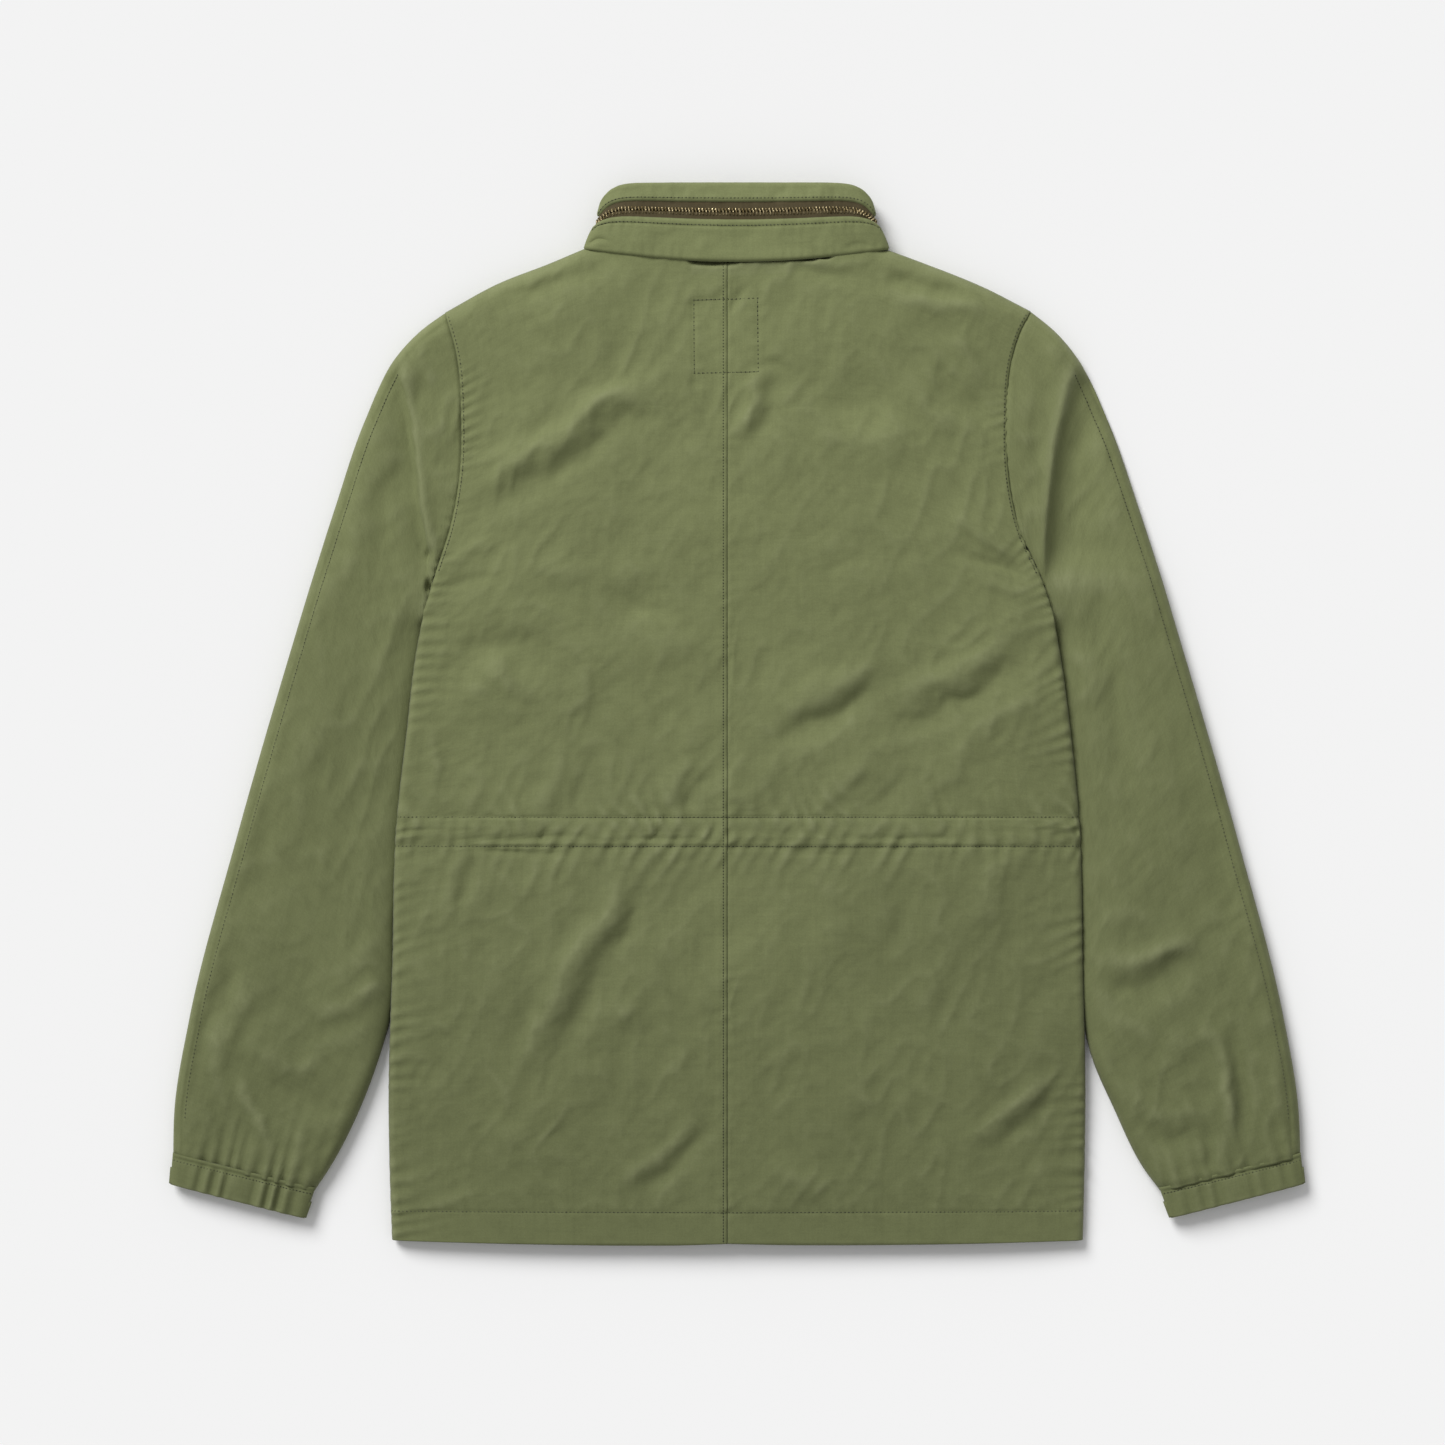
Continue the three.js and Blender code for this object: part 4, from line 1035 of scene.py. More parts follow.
def makeCuff(side):
    look = cuffLook
    s = sideSign[side]
    ring = np.arange(look["around"]) / look["around"]
    fold = look["long"]
    downs = np.r_[-3.0, -1.0, 0.0, 1.0, 2.5, np.linspace(4.0, fold - 3, 11), fold - 1.6, fold - 0.6, fold,
                  fold - 0.5, fold - 1.8, np.linspace(fold - 3.5, fold - look["turnIn"], 4)]
    # how far each row is tucked inside
    tucks = np.r_[np.zeros(17), 0.2, 0.9, 1.8, 2.4, np.full(4, 2.6)]
    rows = []
    for down, inward in zip(downs, tucks):
        flat, high = cuffPoint(side, ring, down)
        half = look["half"] - inward
        waves = gathers(side, flat[:, 0], flat[:, 1]) * look["depth"]
        deep = soften(-2, 4, down) * (1 - 0.25 * soften(fold - 3, fold, down))
        z = 1.2 + look["half"] + high * half + waves * np.abs(high) ** 3 * deep * np.sign(high) * 0.9
        z = z - 1.1 * bump(down, 0.5, 1.3) * np.sign(high) * np.abs(high)
        rows.append(np.c_[flat, np.maximum(z, 0.5)])
    grid = np.array(rows)
    wear = wearOf(grid, 0.3) + 0.2 * bump(downs[:, None] + 0 * ring[None], fold, 1.5)
    piece = clothPiece("cuff_cloth_" + side, grid, look["thickness"], cloths["shellCloth"],
                       ring=True, flip=s > 0, wear=wear)
    return piece, grid


cuffs = {side: makeCuff(side) for side in ("left", "right")}
print("cuffs made")


# The front's two halves, which lie underneath

frontLook = dict(
    lie=6.4,             # outer face over the floor, where the pockets lie under it
    pad=0.6,             # along the hem and across the shoulders, where it rests on the floor
    gap=7.8,             # half the opening between the halves
    inset=0.6,           # it stops just inside the back's edge
    hem=-395, neck=336,
    width=258, rise=735,
    thickness=1.2,
    step=5.0,
)


def frontHeight(side, x, y):        # height of the front's outer face, which looks down
    look = frontLook
    nearHem = 1 - soften(-374, -350, y)
    nearShoulder = soften(231, 256, y)
    sideGap = np.abs(edgeX(side, y)) - np.abs(x)
    away = soften(34, 48, np.abs(x))
    low = np.maximum(nearHem, nearShoulder) * away
    z = mixed(look["lie"], look["pad"], low)
    edge = mixed(sideLevel(y) - 7.7, 5.6, soften(40, 90, y))        # meets the back's edge
    z = mixed(z, edge, (1 - soften(2, 30, sideGap)))
    top = (topY(side, x) - y) * 0.93
    z = mixed(z, shoulderLevel(x) - 2.3, (1 - roundOff(top, 12)) * soften(200, 300, y))
    z = z + 0.25 * softNoise(x, y, 30, 90) * soften(3, 14, sideGap)
    return np.maximum(z, 0.4)


def makeFront(side):
    look = frontLook
    s = sideSign[side]
    across = spread(look["width"], look["step"], ((0, 3, 1.2), (look["width"], 8, 1.5)))
    up = spread(look["rise"], look["step"], ((0, 5, 1.5), (look["rise"], 10, 1.6)))
    inner, hemY, neckY = s * look["gap"], look["hem"], look["neck"]
    inward = -s * look["inset"]
    middle = np.array([(inner, hemY), (inner, neckY)])
    hem = np.array([(inner, hemY), (s * 150, hemY - 0.2), lines[side]["hem"][-1] + (inward, 0.8)])
    neck = smoothLine([(inner, neckY), (s * 60, 341), (s * 112, 349)], 30)
    top = np.vstack([neck, lines[side]["shoulder"][3:]])
    edge = lines[side]["edge"].copy()
    edge[0] = hem[-1]
    edge[1:] += (inward, 0)
    top[-1] = edge[-1]
    flat = patch((hem, across), (top, None), (middle, up), (edge, None))
    x, y = flat[..., 0], flat[..., 1]
    grid = np.dstack([x, y, frontHeight(side, x, y)])
    piece = clothPiece("front_" + side, grid, look["thickness"], cloths["shellCloth"],
                       flip=s > 0, wear=wearOf(grid))
    settle(piece, "torso", "shell_cloth", "front_panel_" + side)


for side in ("left", "right"):
    makeFront(side)
print("fronts made")


# Strips behind the back: casing, elastic, hem facing, label and hanging loop

def underBack(points, below):        # points that hang a little under the back's cloth
    x, y = points[..., 0], points[..., 1]
    z = np.where(x < centreX, backHeight("left", x, y), backHeight("right", x, y))
    return np.dstack([x, y, z - backLook["thickness"] - below])


stripLooks = {        # x from and to, y from and to, depth under the back, thickness, cloth, slot and node
    "waist_casing_cloth": dict(x=(-236, 232), y=(-99.5, -74.5), below=3.4, thickness=0.6,
                               cloth="liningCloth", slot="lining", node="waist_casing"),
    "waist_elastic_band": dict(x=(-226, 222), y=(-95.5, -78.5), below=1.2, thickness=1.1, step=2.5,
                               cloth="elasticCloth", slot="elastic", node="waist_elastic",
                               ripple=0.6, rippleLong=9),
    "hem_facing_cloth": dict(x=(-250, 250), y=(-393.5, -371.5), below=0.4, thickness=0.9,
                             cloth="shellCloth", slot="lining", node="hem_facing_back"),
    "neck_label_cloth": dict(x=(labelBox["left"] + 1.2, labelBox["right"] - 1.2),
                             y=(labelBox["low"] + 1.2, labelBox["high"] - 1.6), below=0.5, thickness=0.5,
                             cloth="labelCloth", slot="label_cloth", node="neck_label"),
}


def makeStrip(name):
    look = stripLooks[name]
    (left, right), (low, high) = look["x"], look["y"]
    x = np.linspace(left, right, int((right - left) / look.get("step", 4.0)) + 2)
    y = np.linspace(low, high, max(int((high - low) / 2.5), 3))
    gx, gy = np.meshgrid(x, y)
    grid = underBack(np.dstack([gx, gy]), look["below"])
    stretched = "ripple" in look
    if stretched:        # the elastic draws the cloth into small waves
        wave = np.sin(2 * math.pi * gx / look["rippleLong"] + softNoise(gx, gy, 30, 95))
        grid[..., 2] -= look["ripple"] * (0.5 + 0.5 * wave)
    piece = clothPiece(name, grid, look["thickness"], cloths[look["cloth"]], wear=wearOf(grid))
    settle(piece, "torso", look["slot"], look["node"])


for name in stripLooks:
    makeStrip(name)


loopLook = dict(width=9.5, reach=31, drop=17, top=340, below=2.2, thickness=1.2)


def makeLoop():        # a narrow folded loop sewn into the neck seam, to hang the jacket by
    look = loopLook
    width, reach, drop, top = look["width"], look["reach"], look["drop"], look["top"]
    low = top - drop * 0.8
    run = smoothLine([(centreX - reach, top), (centreX - reach * 0.7, low), (centreX, top - drop),
                      (centreX + reach * 0.7, low), (centreX + reach, top)], 50)
    tangent = np.gradient(run, axis=0)
    tangent /= np.linalg.norm(tangent, axis=1, keepdims=True)
    normal = np.c_[-tangent[:, 1], tangent[:, 0]]
    across = np.linspace(-width / 2, width / 2, 7)
    flat = run[None] + across[:, None, None] * normal[None]
    grid = underBack(flat, look["below"])
    grid[..., 2] -= 0.35 * (np.abs(across)[:, None] / (width / 2)) ** 4
    piece = clothPiece("hanging_loop_tape", grid, look["thickness"], cloths["shellCloth"])
    settle(piece, "torso", "shell_cloth", "hanger_loop")


makeLoop()
print("inner strips made")


# Pockets, their flaps and the storm flap, which lie under the front

plateLook = dict(step=3.2, fineStep=0.8, stitchIn=5.5, foldDeep=9, thickest=1.3, thinnest=0.7)
plateKinds = {        # cloth, slot, corner radius, puff round the middle, rolled edge and sewn edge
    "bag": dict(cloth="liningCloth", slot="lining", corner=9, puff=0.0, edgeRoll=0.5, hinge=None),
    "cover": dict(cloth="shellCloth", slot="shell_cloth", corner=14, puff=0.1, edgeRoll=0.5, hinge="top"),
    "storm": dict(cloth="shellCloth", slot="shell_cloth", corner=4, puff=0.0, edgeRoll=0.5, hinge="left"),
    "tape": dict(cloth="tapeCloth", slot="zip_tape", corner=0.5, puff=0.0, edgeRoll=0.1, hinge=None),
}


def makePlate(name, node, body, kind):
    # a sewn cloth plate that fills its frame node: rounded corners, a raised middle and a pressed edge
    look, own = plateLook, plateKinds[kind]
    low, high = (np.array(corner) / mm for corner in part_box(node))
    wide, tall, deep = high - low
    across, up = (spread(size, look["step"], ((0, 3, look["fineStep"]), (size, 3, look["fineStep"])))
                  for size in (wide, tall))
    u, v = np.meshgrid(across, up)
    x = low[0] + wide * u
    y = low[1] + tall * v
    endGap = np.minimum(v, 1 - v) * tall
    pull = np.where(v < 0.5, own["corner"] * (1 - roundOff(endGap, own["corner"])), 0)
    x = x + (0.5 - u) * 2 * pull
    gap = np.minimum(np.minimum(u, 1 - u) * wide, endGap)
    z = low[2] + own["edgeRoll"] * (1 - roundOff(gap, 2.0)) + own["puff"] * (1 - soften(0, 24, gap))
    z = z + 0.10 * softNoise(x, y, 22, 97) + 0.25 * bump(gap, look["stitchIn"], 0.8)
    if own["hinge"]:        # the sewn edge rises to the front, where it folds
        sewn = (1 - v) * tall if own["hinge"] == "top" else u * wide
        z = mixed(high[2] - 1.5, z, soften(0, look["foldDeep"], sewn))
    grid = np.dstack([x, y, np.clip(z, low[2], high[2] - 0.7)])
    thickness = max(min(deep * 0.8, look["thickest"]), look["thinnest"])
    piece = clothPiece(name, grid, thickness, cloths[own["cloth"]], flip=True, wear=0.25 * bump(gap, 0, 2))
    settle(piece, body, own["slot"], node)


for pocket in ("chest_pocket", "waist_pocket"):
    for side in ("left", "right"):
        name = pocket + "_" + side
        makePlate(name + "_bag", name, "torso", "bag")
        makePlate(name + "_cover", name + "_flap", name + "_flap", "cover")
makePlate("storm_flap_cloth", "storm_flap", "storm_flap", "storm")
print("pockets and flaps made")


# Collar: a band that runs right round the neck, lying flat


collarFolds = [
    ([(-112, 351.5), (-103, 356.6), (-94, 354.0)], 1.6, -1.7, 0.2),
    ([(-110, 349), (-102, 353.0), (-92, 351.0)], 2.2, 0.9, 0.2),
    ([(2, 344), (5, 352), (13, 362)], 3.5, -0.9, 0.2),
    ([(-30, 346), (-24, 354), (-22, 364)], 5, 0.8, 0.1),
    ([(58, 346), (66, 354), (70, 364)], 5, 0.9, 0.1),
    ([(76, 346), (90, 352), (104, 352)], 3, -0.9, 0.2),
    ([(-80, 350), (-70, 356), (-66, 364)], 5, 0.7, 0.1),
    ([(-6, 386), (0, 391), (2, 396)], 4, 0.7, 0.1),
    ([(24, 386), (34, 391), (40, 396)], 4, -0.8, 0.1),
    ([(56, 386), (64, 391), (66, 396)], 5, 0.8, 0.1),
    ([(-52, 386), (-44, 391), (-42, 396)], 5, -0.6, 0.1),
]


def collarPoint(angle, share, inset=0.0, detail=True):
    # angle 0 is the middle of the back, pi the front; share runs up the band; inset goes into the ring
    look = collarLook
    angle, share = np.broadcast_arrays(np.asarray(angle, float), np.asarray(share, float))
    sine, cosine = np.sin(angle), np.cos(angle)
    below = soften(0, 0.64, -cosine)
    boxy = mixed(look["square"], look["squareUnder"], below)
    q = np.sign(sine) * np.abs(sine) ** mixed(2 / look["square"], 1, below)
    high = np.sign(cosine) * (1 - np.minimum(np.abs(q), 1) ** boxy) ** (1 / boxy)
    half = mixed(look["baseHalf"], look["topHalf"], share) - inset
    x = q * half
    base = mixed(look["baseMiddle"], look["baseEnd"], np.abs(q) ** mixed(1.9, 7.0, below))
    top = mixed(look["top"], look["topEnd"], np.abs(q) ** 15)
    y = mixed(base, top, share) - look["droop"] * np.abs(q) ** 9 * bump(share, 0.62, 0.26)
    deep = np.where(cosine > 0, look["half"], look["under"]) * (1 - 0.30 * soften(0.72, 1.0, share))
    deep = np.maximum(deep - inset, 0.3)
    lean = mixed(0.6, -0.5, share)
    z = look["centre"] + lean + high * deep
    if detail:
        upper = np.clip(high, 0, 1)
        free = upper * (0.15 + 0.85 * soften(0, 0.3, share))        # still where it is sewn to the back
        creases = 0.45 * softNoise(*turned(x, y * 1.6, 20), 17, look["seed"] + 1)
        z = z + free * (1.1 * softNoise(x, y, 46, look["seed"]) + creases)
        z = z + free * 0.25 * sharpNoise(x, y * 1.5, 12, look["seed"] + 2)
        z = z + upper * foldHeight(collarFolds, x, y) * (1 - soften(2.0, 3.2, inset))
    return x - look["shift"], y, z


def bandWaves(x, height, amount, seed):        # the small puckers along a stitched edge
    at = x + 1.8 * softNoise(x, height, 15, seed)
    return amount * np.sin(2 * math.pi * at / 7.5) * (0.5 + 0.6 * softNoise(x, height + 9, 26, seed + 1))


def collarRing(rows):        # rows are (share, inset, push) up the band; columns run round it from the front
    look = collarLook
    end = math.pi * (1 - look["opening"])
    angle = np.clip(math.pi * np.linspace(-1, 1, look["around"]), -end, end)
    upper = np.clip(np.cos(angle) * 4, 0, 1)
    grid = []
    for share, inset, push in rows:
        x, y, z = collarPoint(angle, share, inset)
        for amount, seed, place, reach in ((0.35, 141, look["tapeLow"] - 0.07, 0.10),
                                           (0.30, 145, look["tapeHigh"] + 0.05, 0.09),
                                           (0.30, 149, 0.04, 0.09)):
            z = z + upper * bandWaves(x, y, amount, seed) * bump(share, place, reach)
        z = z - upper * 0.55 * bump(share, look["tapeLow"] - 0.075, 0.016)        # the stitched furrows
        z = z - upper * 0.35 * bump(share, look["tapeHigh"] + 0.012, 0.012)
        grid.append(np.c_[x, y + push, z])
    return np.array(grid)


def collarPart(name, rows, thickness, slot, node, rubbed=None, lift=None):
    grid = collarRing(rows)
    if lift:
        grid[..., 2] += lift(grid)
    wear = None if rubbed is None else wearOf(grid) + sum(edgeWear(rows, share) for share in rubbed)
    piece = clothPiece(name, grid, thickness, cloths["shellCloth"], flip=True, wear=wear)
    settle(piece, "torso", slot, node)


def makeCollar():        # each row: share of the height, how far inside, and a small push up the back
    look = collarLook
    edge = look["tapeLow"]
    rows = [(0.03, 2.4, 0.0), (0.0, 2.0, -0.3), (-0.012, 1.2, -0.2), (-0.008, 0.4, 0.0), (0.006, 0.0, 0.0)]
    rows += [(share, 0.0, 0.0) for share in np.linspace(0.025, edge - 0.02, 24)]
    rows += [(edge - 0.006, 0.25, 0.0), (edge, 0.9, 0.0), (edge - 0.008, 1.7, 0.0)]
    collarPart("collar_lower", rows, look["thickness"], "shell_cloth", "collar_lower_band",
               [edge], baseLift)
    edge = look["tapeHigh"]
    rows = [(edge + 0.008, 1.7, 0.0), (edge, 0.9, 0.0), (edge + 0.006, 0.25, 0.0)]
    rows += [(share, 0.0, 0.0) for share in np.linspace(edge + 0.02, 0.955, 11)]
    rows += [(0.975, 0.15, 0.0), (0.99, 0.6, 0.0), (1.0, 1.3, 0.0), (0.998, 2.1, 0.0)]
    collarPart("collar_upper", rows, look["thickness"], "shell_cloth", "collar_upper_band", [0.99, edge])
    rows = [(share, look["innerInset"], 0.0) for share in np.linspace(0.05, 0.93, 16)]
    rows += [(0.965, 4.0, 0.0), (0.985, 3.2, 0.0)]
    collarPart("collar_inner", rows, look["innerThickness"], "lining", "collar_inner_band")


def edgeWear(rows, share):
    return 0.3 * np.array([float(bump(row[0], share, 0.012)) for row in rows])[:, None]


def baseLift(grid):        # the base edge stands off the back beside the dark gap
    x, y = grid[..., 0], grid[..., 1]
    wide = soften(-42, -30, x) * (1 - soften(62, 76, x)) * (grid[..., 2] > collarLook["centre"])
    return 0.8 * wide * bump(y, 341.5, 6)


makeCollar()
print("collar made")


# Zip round the collar

zipLook = dict(
    pitch=2.5,           # from one tooth to the next on the same side
    toothLong=3.5, toothWide=1.15, toothHigh=1.4,
    toothBite=0.85,      # each row's distance from the middle of the chain
    tapeInset=1.5, tapeThickness=0.7,
    tapeGap=0.012,       # half the gap between the tapes, as a share of the collar's height
    tapeUnder=0.10, tapeOver=0.09,        # how far the tapes run in under the bands
)


def tapeStrip(name, low, high, node, beadAtTop):
    shares = np.linspace(low, high, 9)
    rows = []
    for k, share in enumerate(shares):
        bead = 0.35 * bump(k, 8 if beadAtTop else 0, 1.2)        # the corded edge beside the teeth
        rows.append((share, zipLook["tapeInset"] - bead, 0.0))
    grid = collarRing(rows)
    wear = wearOf(grid) + 0.1
    piece = clothPiece(name, grid, zipLook["tapeThickness"], cloths["tapeCloth"], flip=True, wear=wear)
    settle(piece, "torso", "zip_tape", node)


tapeStrip("collar_tape_lower", collarLook["tapeLow"] - zipLook["tapeUnder"],
          collarLook["chain"] - zipLook["tapeGap"], "collar_zip_tape_lower", True)
tapeStrip("collar_tape_upper", collarLook["chain"] + zipLook["tapeGap"],
          collarLook["tapeHigh"] + zipLook["tapeOver"], "collar_zip_tape_upper", False)


def toothShape():        # a waisted tooth with a rounded head, long along y
    profile = [(-0.50, -0.50), (0.50, -0.50), (0.44, 0.05), (0.30, 0.18), (0.46, 0.34), (0.26, 0.50),
                (-0.26, 0.50), (-0.46, 0.34), (-0.30, 0.18), (-0.44, 0.05)]
    points, faces = [], []
    for level, shrink in ((-0.5, 1.0), (0.25, 1.0), (0.5, 0.72)):
        points += [(x * shrink, y * (0.5 + 0.5 * shrink), level) for x, y in profile]
    n = len(profile)
    for low in (0, n):
        for k in range(n):
            after = (k + 1) % n
            faces.append((low + k, low + after, low + n + after, low + n + k))
    faces += [tuple(range(2 * n, 3 * n)), tuple(reversed(range(n)))]
    mesh = bpy.data.meshes.new("tooth")
    mesh.from_pydata(points, [], faces)
    return bpy.data.objects.new("tooth", mesh)


def addNode(tree, kind, **values):
    node = tree.nodes.new(kind)
    for key, value in values.items():
        setattr(node, key, value)
    return node


def repeatTree(name):        # sets a shape along each line of a mesh and gives it its material
    tree = bpy.data.node_groups.new(name, "GeometryNodeTree")
    face = tree.interface
    face.new_socket("Lines", in_out="INPUT", socket_type="NodeSocketGeometry")
    for label, kind in (("Shape", "Object"), ("Pitch", "Float"), ("Start", "Float"), ("Length", "Float"),
                        ("Width", "Float"), ("Height", "Float"), ("Unevenness", "Float"), ("Seed", "Int"),
                        ("Finish", "Material")):
        face.new_socket(label, in_out="INPUT", socket_type="NodeSocket" + kind)
    face.new_socket("Pieces", in_out="OUTPUT", socket_type="NodeSocketGeometry")
    link = tree.links.new
    given = addNode(tree, "NodeGroupInput")
    out = addNode(tree, "NodeGroupOutput")
    curve = addNode(tree, "GeometryNodeMeshToCurve")
    trim = addNode(tree, "GeometryNodeTrimCurve", mode="LENGTH")
    resample = addNode(tree, "GeometryNodeResampleCurve", mode="LENGTH")
    tangent = addNode(tree, "GeometryNodeInputTangent")
    upward = addNode(tree, "GeometryNodeInputNamedAttribute", data_type="FLOAT_VECTOR")
    upward.inputs["Name"].default_value = "upward"
    alignZ = addNode(tree, "FunctionNodeAlignRotationToVector", axis="Z")
    alignX = addNode(tree, "FunctionNodeAlignRotationToVector", axis="X", pivot_axis="Z")
    shape = addNode(tree, "GeometryNodeObjectInfo")
    place = addNode(tree, "GeometryNodeInstanceOnPoints")
    size = addNode(tree, "ShaderNodeCombineXYZ")
    vary = addNode(tree, "FunctionNodeRandomValue", data_type="FLOAT")
    least = addNode(tree, "ShaderNodeMath", operation="SUBTRACT")
    most = addNode(tree, "ShaderNodeMath", operation="ADD")
    scale = addNode(tree, "ShaderNodeVectorMath", operation="SCALE")
    realise = addNode(tree, "GeometryNodeRealizeInstances")
    finish = addNode(tree, "GeometryNodeSetMaterial")
    link(given.outputs["Lines"], curve.inputs[0])
    link(curve.outputs[0], trim.inputs["Curve"])
    starts = [socket for socket in trim.inputs if socket.name == "Start" and socket.enabled]
    ends = [socket for socket in trim.inputs if socket.name == "End" and socket.enabled]
    lengthOf = addNode(tree, "GeometryNodeSplineLength")
    link(given.outputs["Start"], starts[-1])
    link(lengthOf.outputs["Length"], ends[-1])
    link(trim.outputs[0], resample.inputs["Curve"])
    link(given.outputs["Pitch"], resample.inputs["Length"])
    link(upward.outputs["Attribute"], alignZ.inputs["Vector"])
    link(alignZ.outputs[0], alignX.inputs["Rotation"])
    link(tangent.outputs[0], alignX.inputs["Vector"])
    link(given.outputs["Shape"], shape.inputs["Object"])
    link(resample.outputs[0], place.inputs["Points"])
    link(shape.outputs["Geometry"], place.inputs["Instance"])
    link(alignX.outputs[0], place.inputs["Rotation"])
    for label, socket in (("Length", 0), ("Width", 1), ("Height", 2)):
        link(given.outputs[label], size.inputs[socket])
    least.inputs[0].default_value = 1
    most.inputs[0].default_value = 1
    link(given.outputs["Unevenness"], least.inputs[1])
    link(given.outputs["Unevenness"], most.inputs[1])
    lows = [socket for socket in vary.inputs if socket.name == "Min" and socket.type == "VALUE"][0]
    highs = [socket for socket in vary.inputs if socket.name == "Max" and socket.type == "VALUE"][0]
    link(least.outputs[0], lows)
    link(most.outputs[0], highs)
    link(given.outputs["Seed"], vary.inputs["Seed"])
    link(size.outputs[0], scale.inputs[0])
    floats = [socket for socket in vary.outputs if socket.type == "VALUE"][0]
    link(floats, scale.inputs["Scale"])
    link(scale.outputs[0], place.inputs["Scale"])
    link(place.outputs[0], realise.inputs[0])
    link(realise.outputs[0], finish.inputs["Geometry"])
    link(given.outputs["Finish"], finish.inputs["Material"])
    link(finish.outputs[0], out.inputs[0])
    return tree


def runTree(name, tree, paths, upward, values):        # paths in mm, each with its outward directions
    points, edges, ups = [], [], []
    for path, up in zip(paths, upward):
        start = len(points)
        points += [tuple(p) for p in np.asarray(path) * mm]
        ups += [tuple(u) for u in up]
        edges += [(k, k + 1) for k in range(start, len(points) - 1)]
    mesh = bpy.data.meshes.new(name + "_path")
    mesh.from_pydata(points, edges, [])
    attribute = mesh.attributes.new("upward", "FLOAT_VECTOR", "POINT")
    attribute.data.foreach_set("vector", np.array(ups, np.float32).ravel())
    host = bpy.data.objects.new(name, mesh)
    bpy.context.scene.collection.objects.link(host)
    modifier = host.modifiers.new("repeat", "NODES")
    modifier.node_group = tree
    sockets = {item.name: item.identifier for item in tree.interface.items_tree if item.in_out == "INPUT"}
    for label, value in values.items():
        modifier[sockets[label]] = value
    evaluated = host.evaluated_get(bpy.context.evaluated_depsgraph_get())
    made = bpy.data.meshes.new_from_object(evaluated)
    host.modifiers.remove(modifier)
    host.data = made
    made.name = name
    for extra in [a.name for a in made.attributes if a.name == "upward"]:
        made.attributes.remove(made.attributes[extra])
    made.polygons.foreach_set("use_smooth", np.ones(len(made.polygons), bool))
    return host


repeatAlong = repeatTree("repeat_along")
tooth = toothShape()


def ringPath(share, inset, across):        # a line round the collar, with the ring's outward direction
    angle = math.pi * np.linspace(-0.985, 0.985, 900)
    x, y, z = collarPoint(angle, share, inset)
    innerX, _, innerZ = collarPoint(angle, share, inset + 2.0)
    up = np.c_[x - innerX, 0 * x, z - innerZ]
    up /= np.linalg.norm(up, axis=1, keepdims=True)
    return np.c_[x, y + across, z], up


def toothValues(start, unevenness, seed):        # what the repeating tree is given for a row of teeth
    look = zipLook
    return {"Shape": tooth, "Pitch": look["pitch"] * mm, "Start": start * look["pitch"] * mm,
            "Length": look["toothWide"] * mm, "Width": look["toothLong"] * mm,
            "Height": look["toothHigh"] * mm, "Unevenness": unevenness, "Seed": seed, "Finish": brass}


def makeTeeth():
    look = zipLook
    for which, side, start in (("lower", -1, 0.0), ("upper", 1, 0.5)):
        path, up = ringPath(collarLook["chain"], look["tapeInset"] - 0.75, side * look["toothBite"])
        if which == "upper":        # the two rows face each other
            path, up = path[::-1], up[::-1]
        piece = runTree("collar_teeth_" + which, repeatAlong, [path], [up], toothValues(start, 0.04, 5))
        settle(piece, "torso", "brass", "collar_zip_teeth_" + which)


makeTeeth()


def makeFrontTeeth():        # the front zip lies underneath, teeth facing down
    for side in ("left", "right"):
        s = sideSign[side]
        low, high = (np.array(corner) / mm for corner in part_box("front_zip_teeth_" + side))
        x = s * 0.95
        z = (low[2] + high[2]) / 2
        ends = (low[1] + 1, high[1] - 1) if s > 0 else (high[1] - 1, low[1] + 1)
        path = np.array([(x, ends[0], z), (x, ends[1], z)])
        values = toothValues(0.5 if s > 0 else 0.0, 0.03, 7)
        piece = runTree("front_teeth_" + side, repeatAlong, [path], [[(0, 0, 1)] * 2], values)
        settle(piece, "torso", "brass", "front_zip_teeth_" + side)
        makePlate("front_tape_" + side, "front_zip_tape_" + side, "torso", "tape")


makeFrontTeeth()
print("zips made")


# The hood, rolled up inside the collar

def makeHoodRoll():
    angle = 2 * math.pi * np.arange(180) / 180
    rows = []
    shares = [0.30, 0.30, 0.31, 0.34, 0.42, 0.54, 0.66, 0.76, 0.83, 0.86, 0.87, 0.87]
    insets = [7.6, 7.2, 6.9, 6.6, 6.4, 6.3, 6.3, 6.4, 6.6, 6.9, 7.2, 7.6]
    for share, inset in zip(shares, insets):
        x, y, z = collarPoint(angle, share, inset, detail=False)
        x = x * 0.93
        z = z + 0.1 * np.sin(7 * angle + share * 9)
        rows.append(np.c_[x, y, z])
    grid = np.array(rows)
    piece = clothPiece("hood_roll", grid, 0.9, cloths["liningCloth"], ring=True, flip=False)
    settle(piece, "torso", "lining", "stowed_hood")


makeHoodRoll()
print("hood made")


# Stitches

stitchLook = dict(
    pitch=3.0,           # from one needle hole to the next
    closePitch=2.3,      # on the seam down the middle of the back
    thread=0.42, threadHigh=0.34,
    # the needle-hole sizes below are for painted shade: flat near-black discs laid on the cloth
    hole=1.30, shadeDotWide=0.95, shadeDotHigh=0.20,
    threadLift=0.10, shadeDotLift=0.05,        # their middles over the cloth
    uneven=0.16,
)


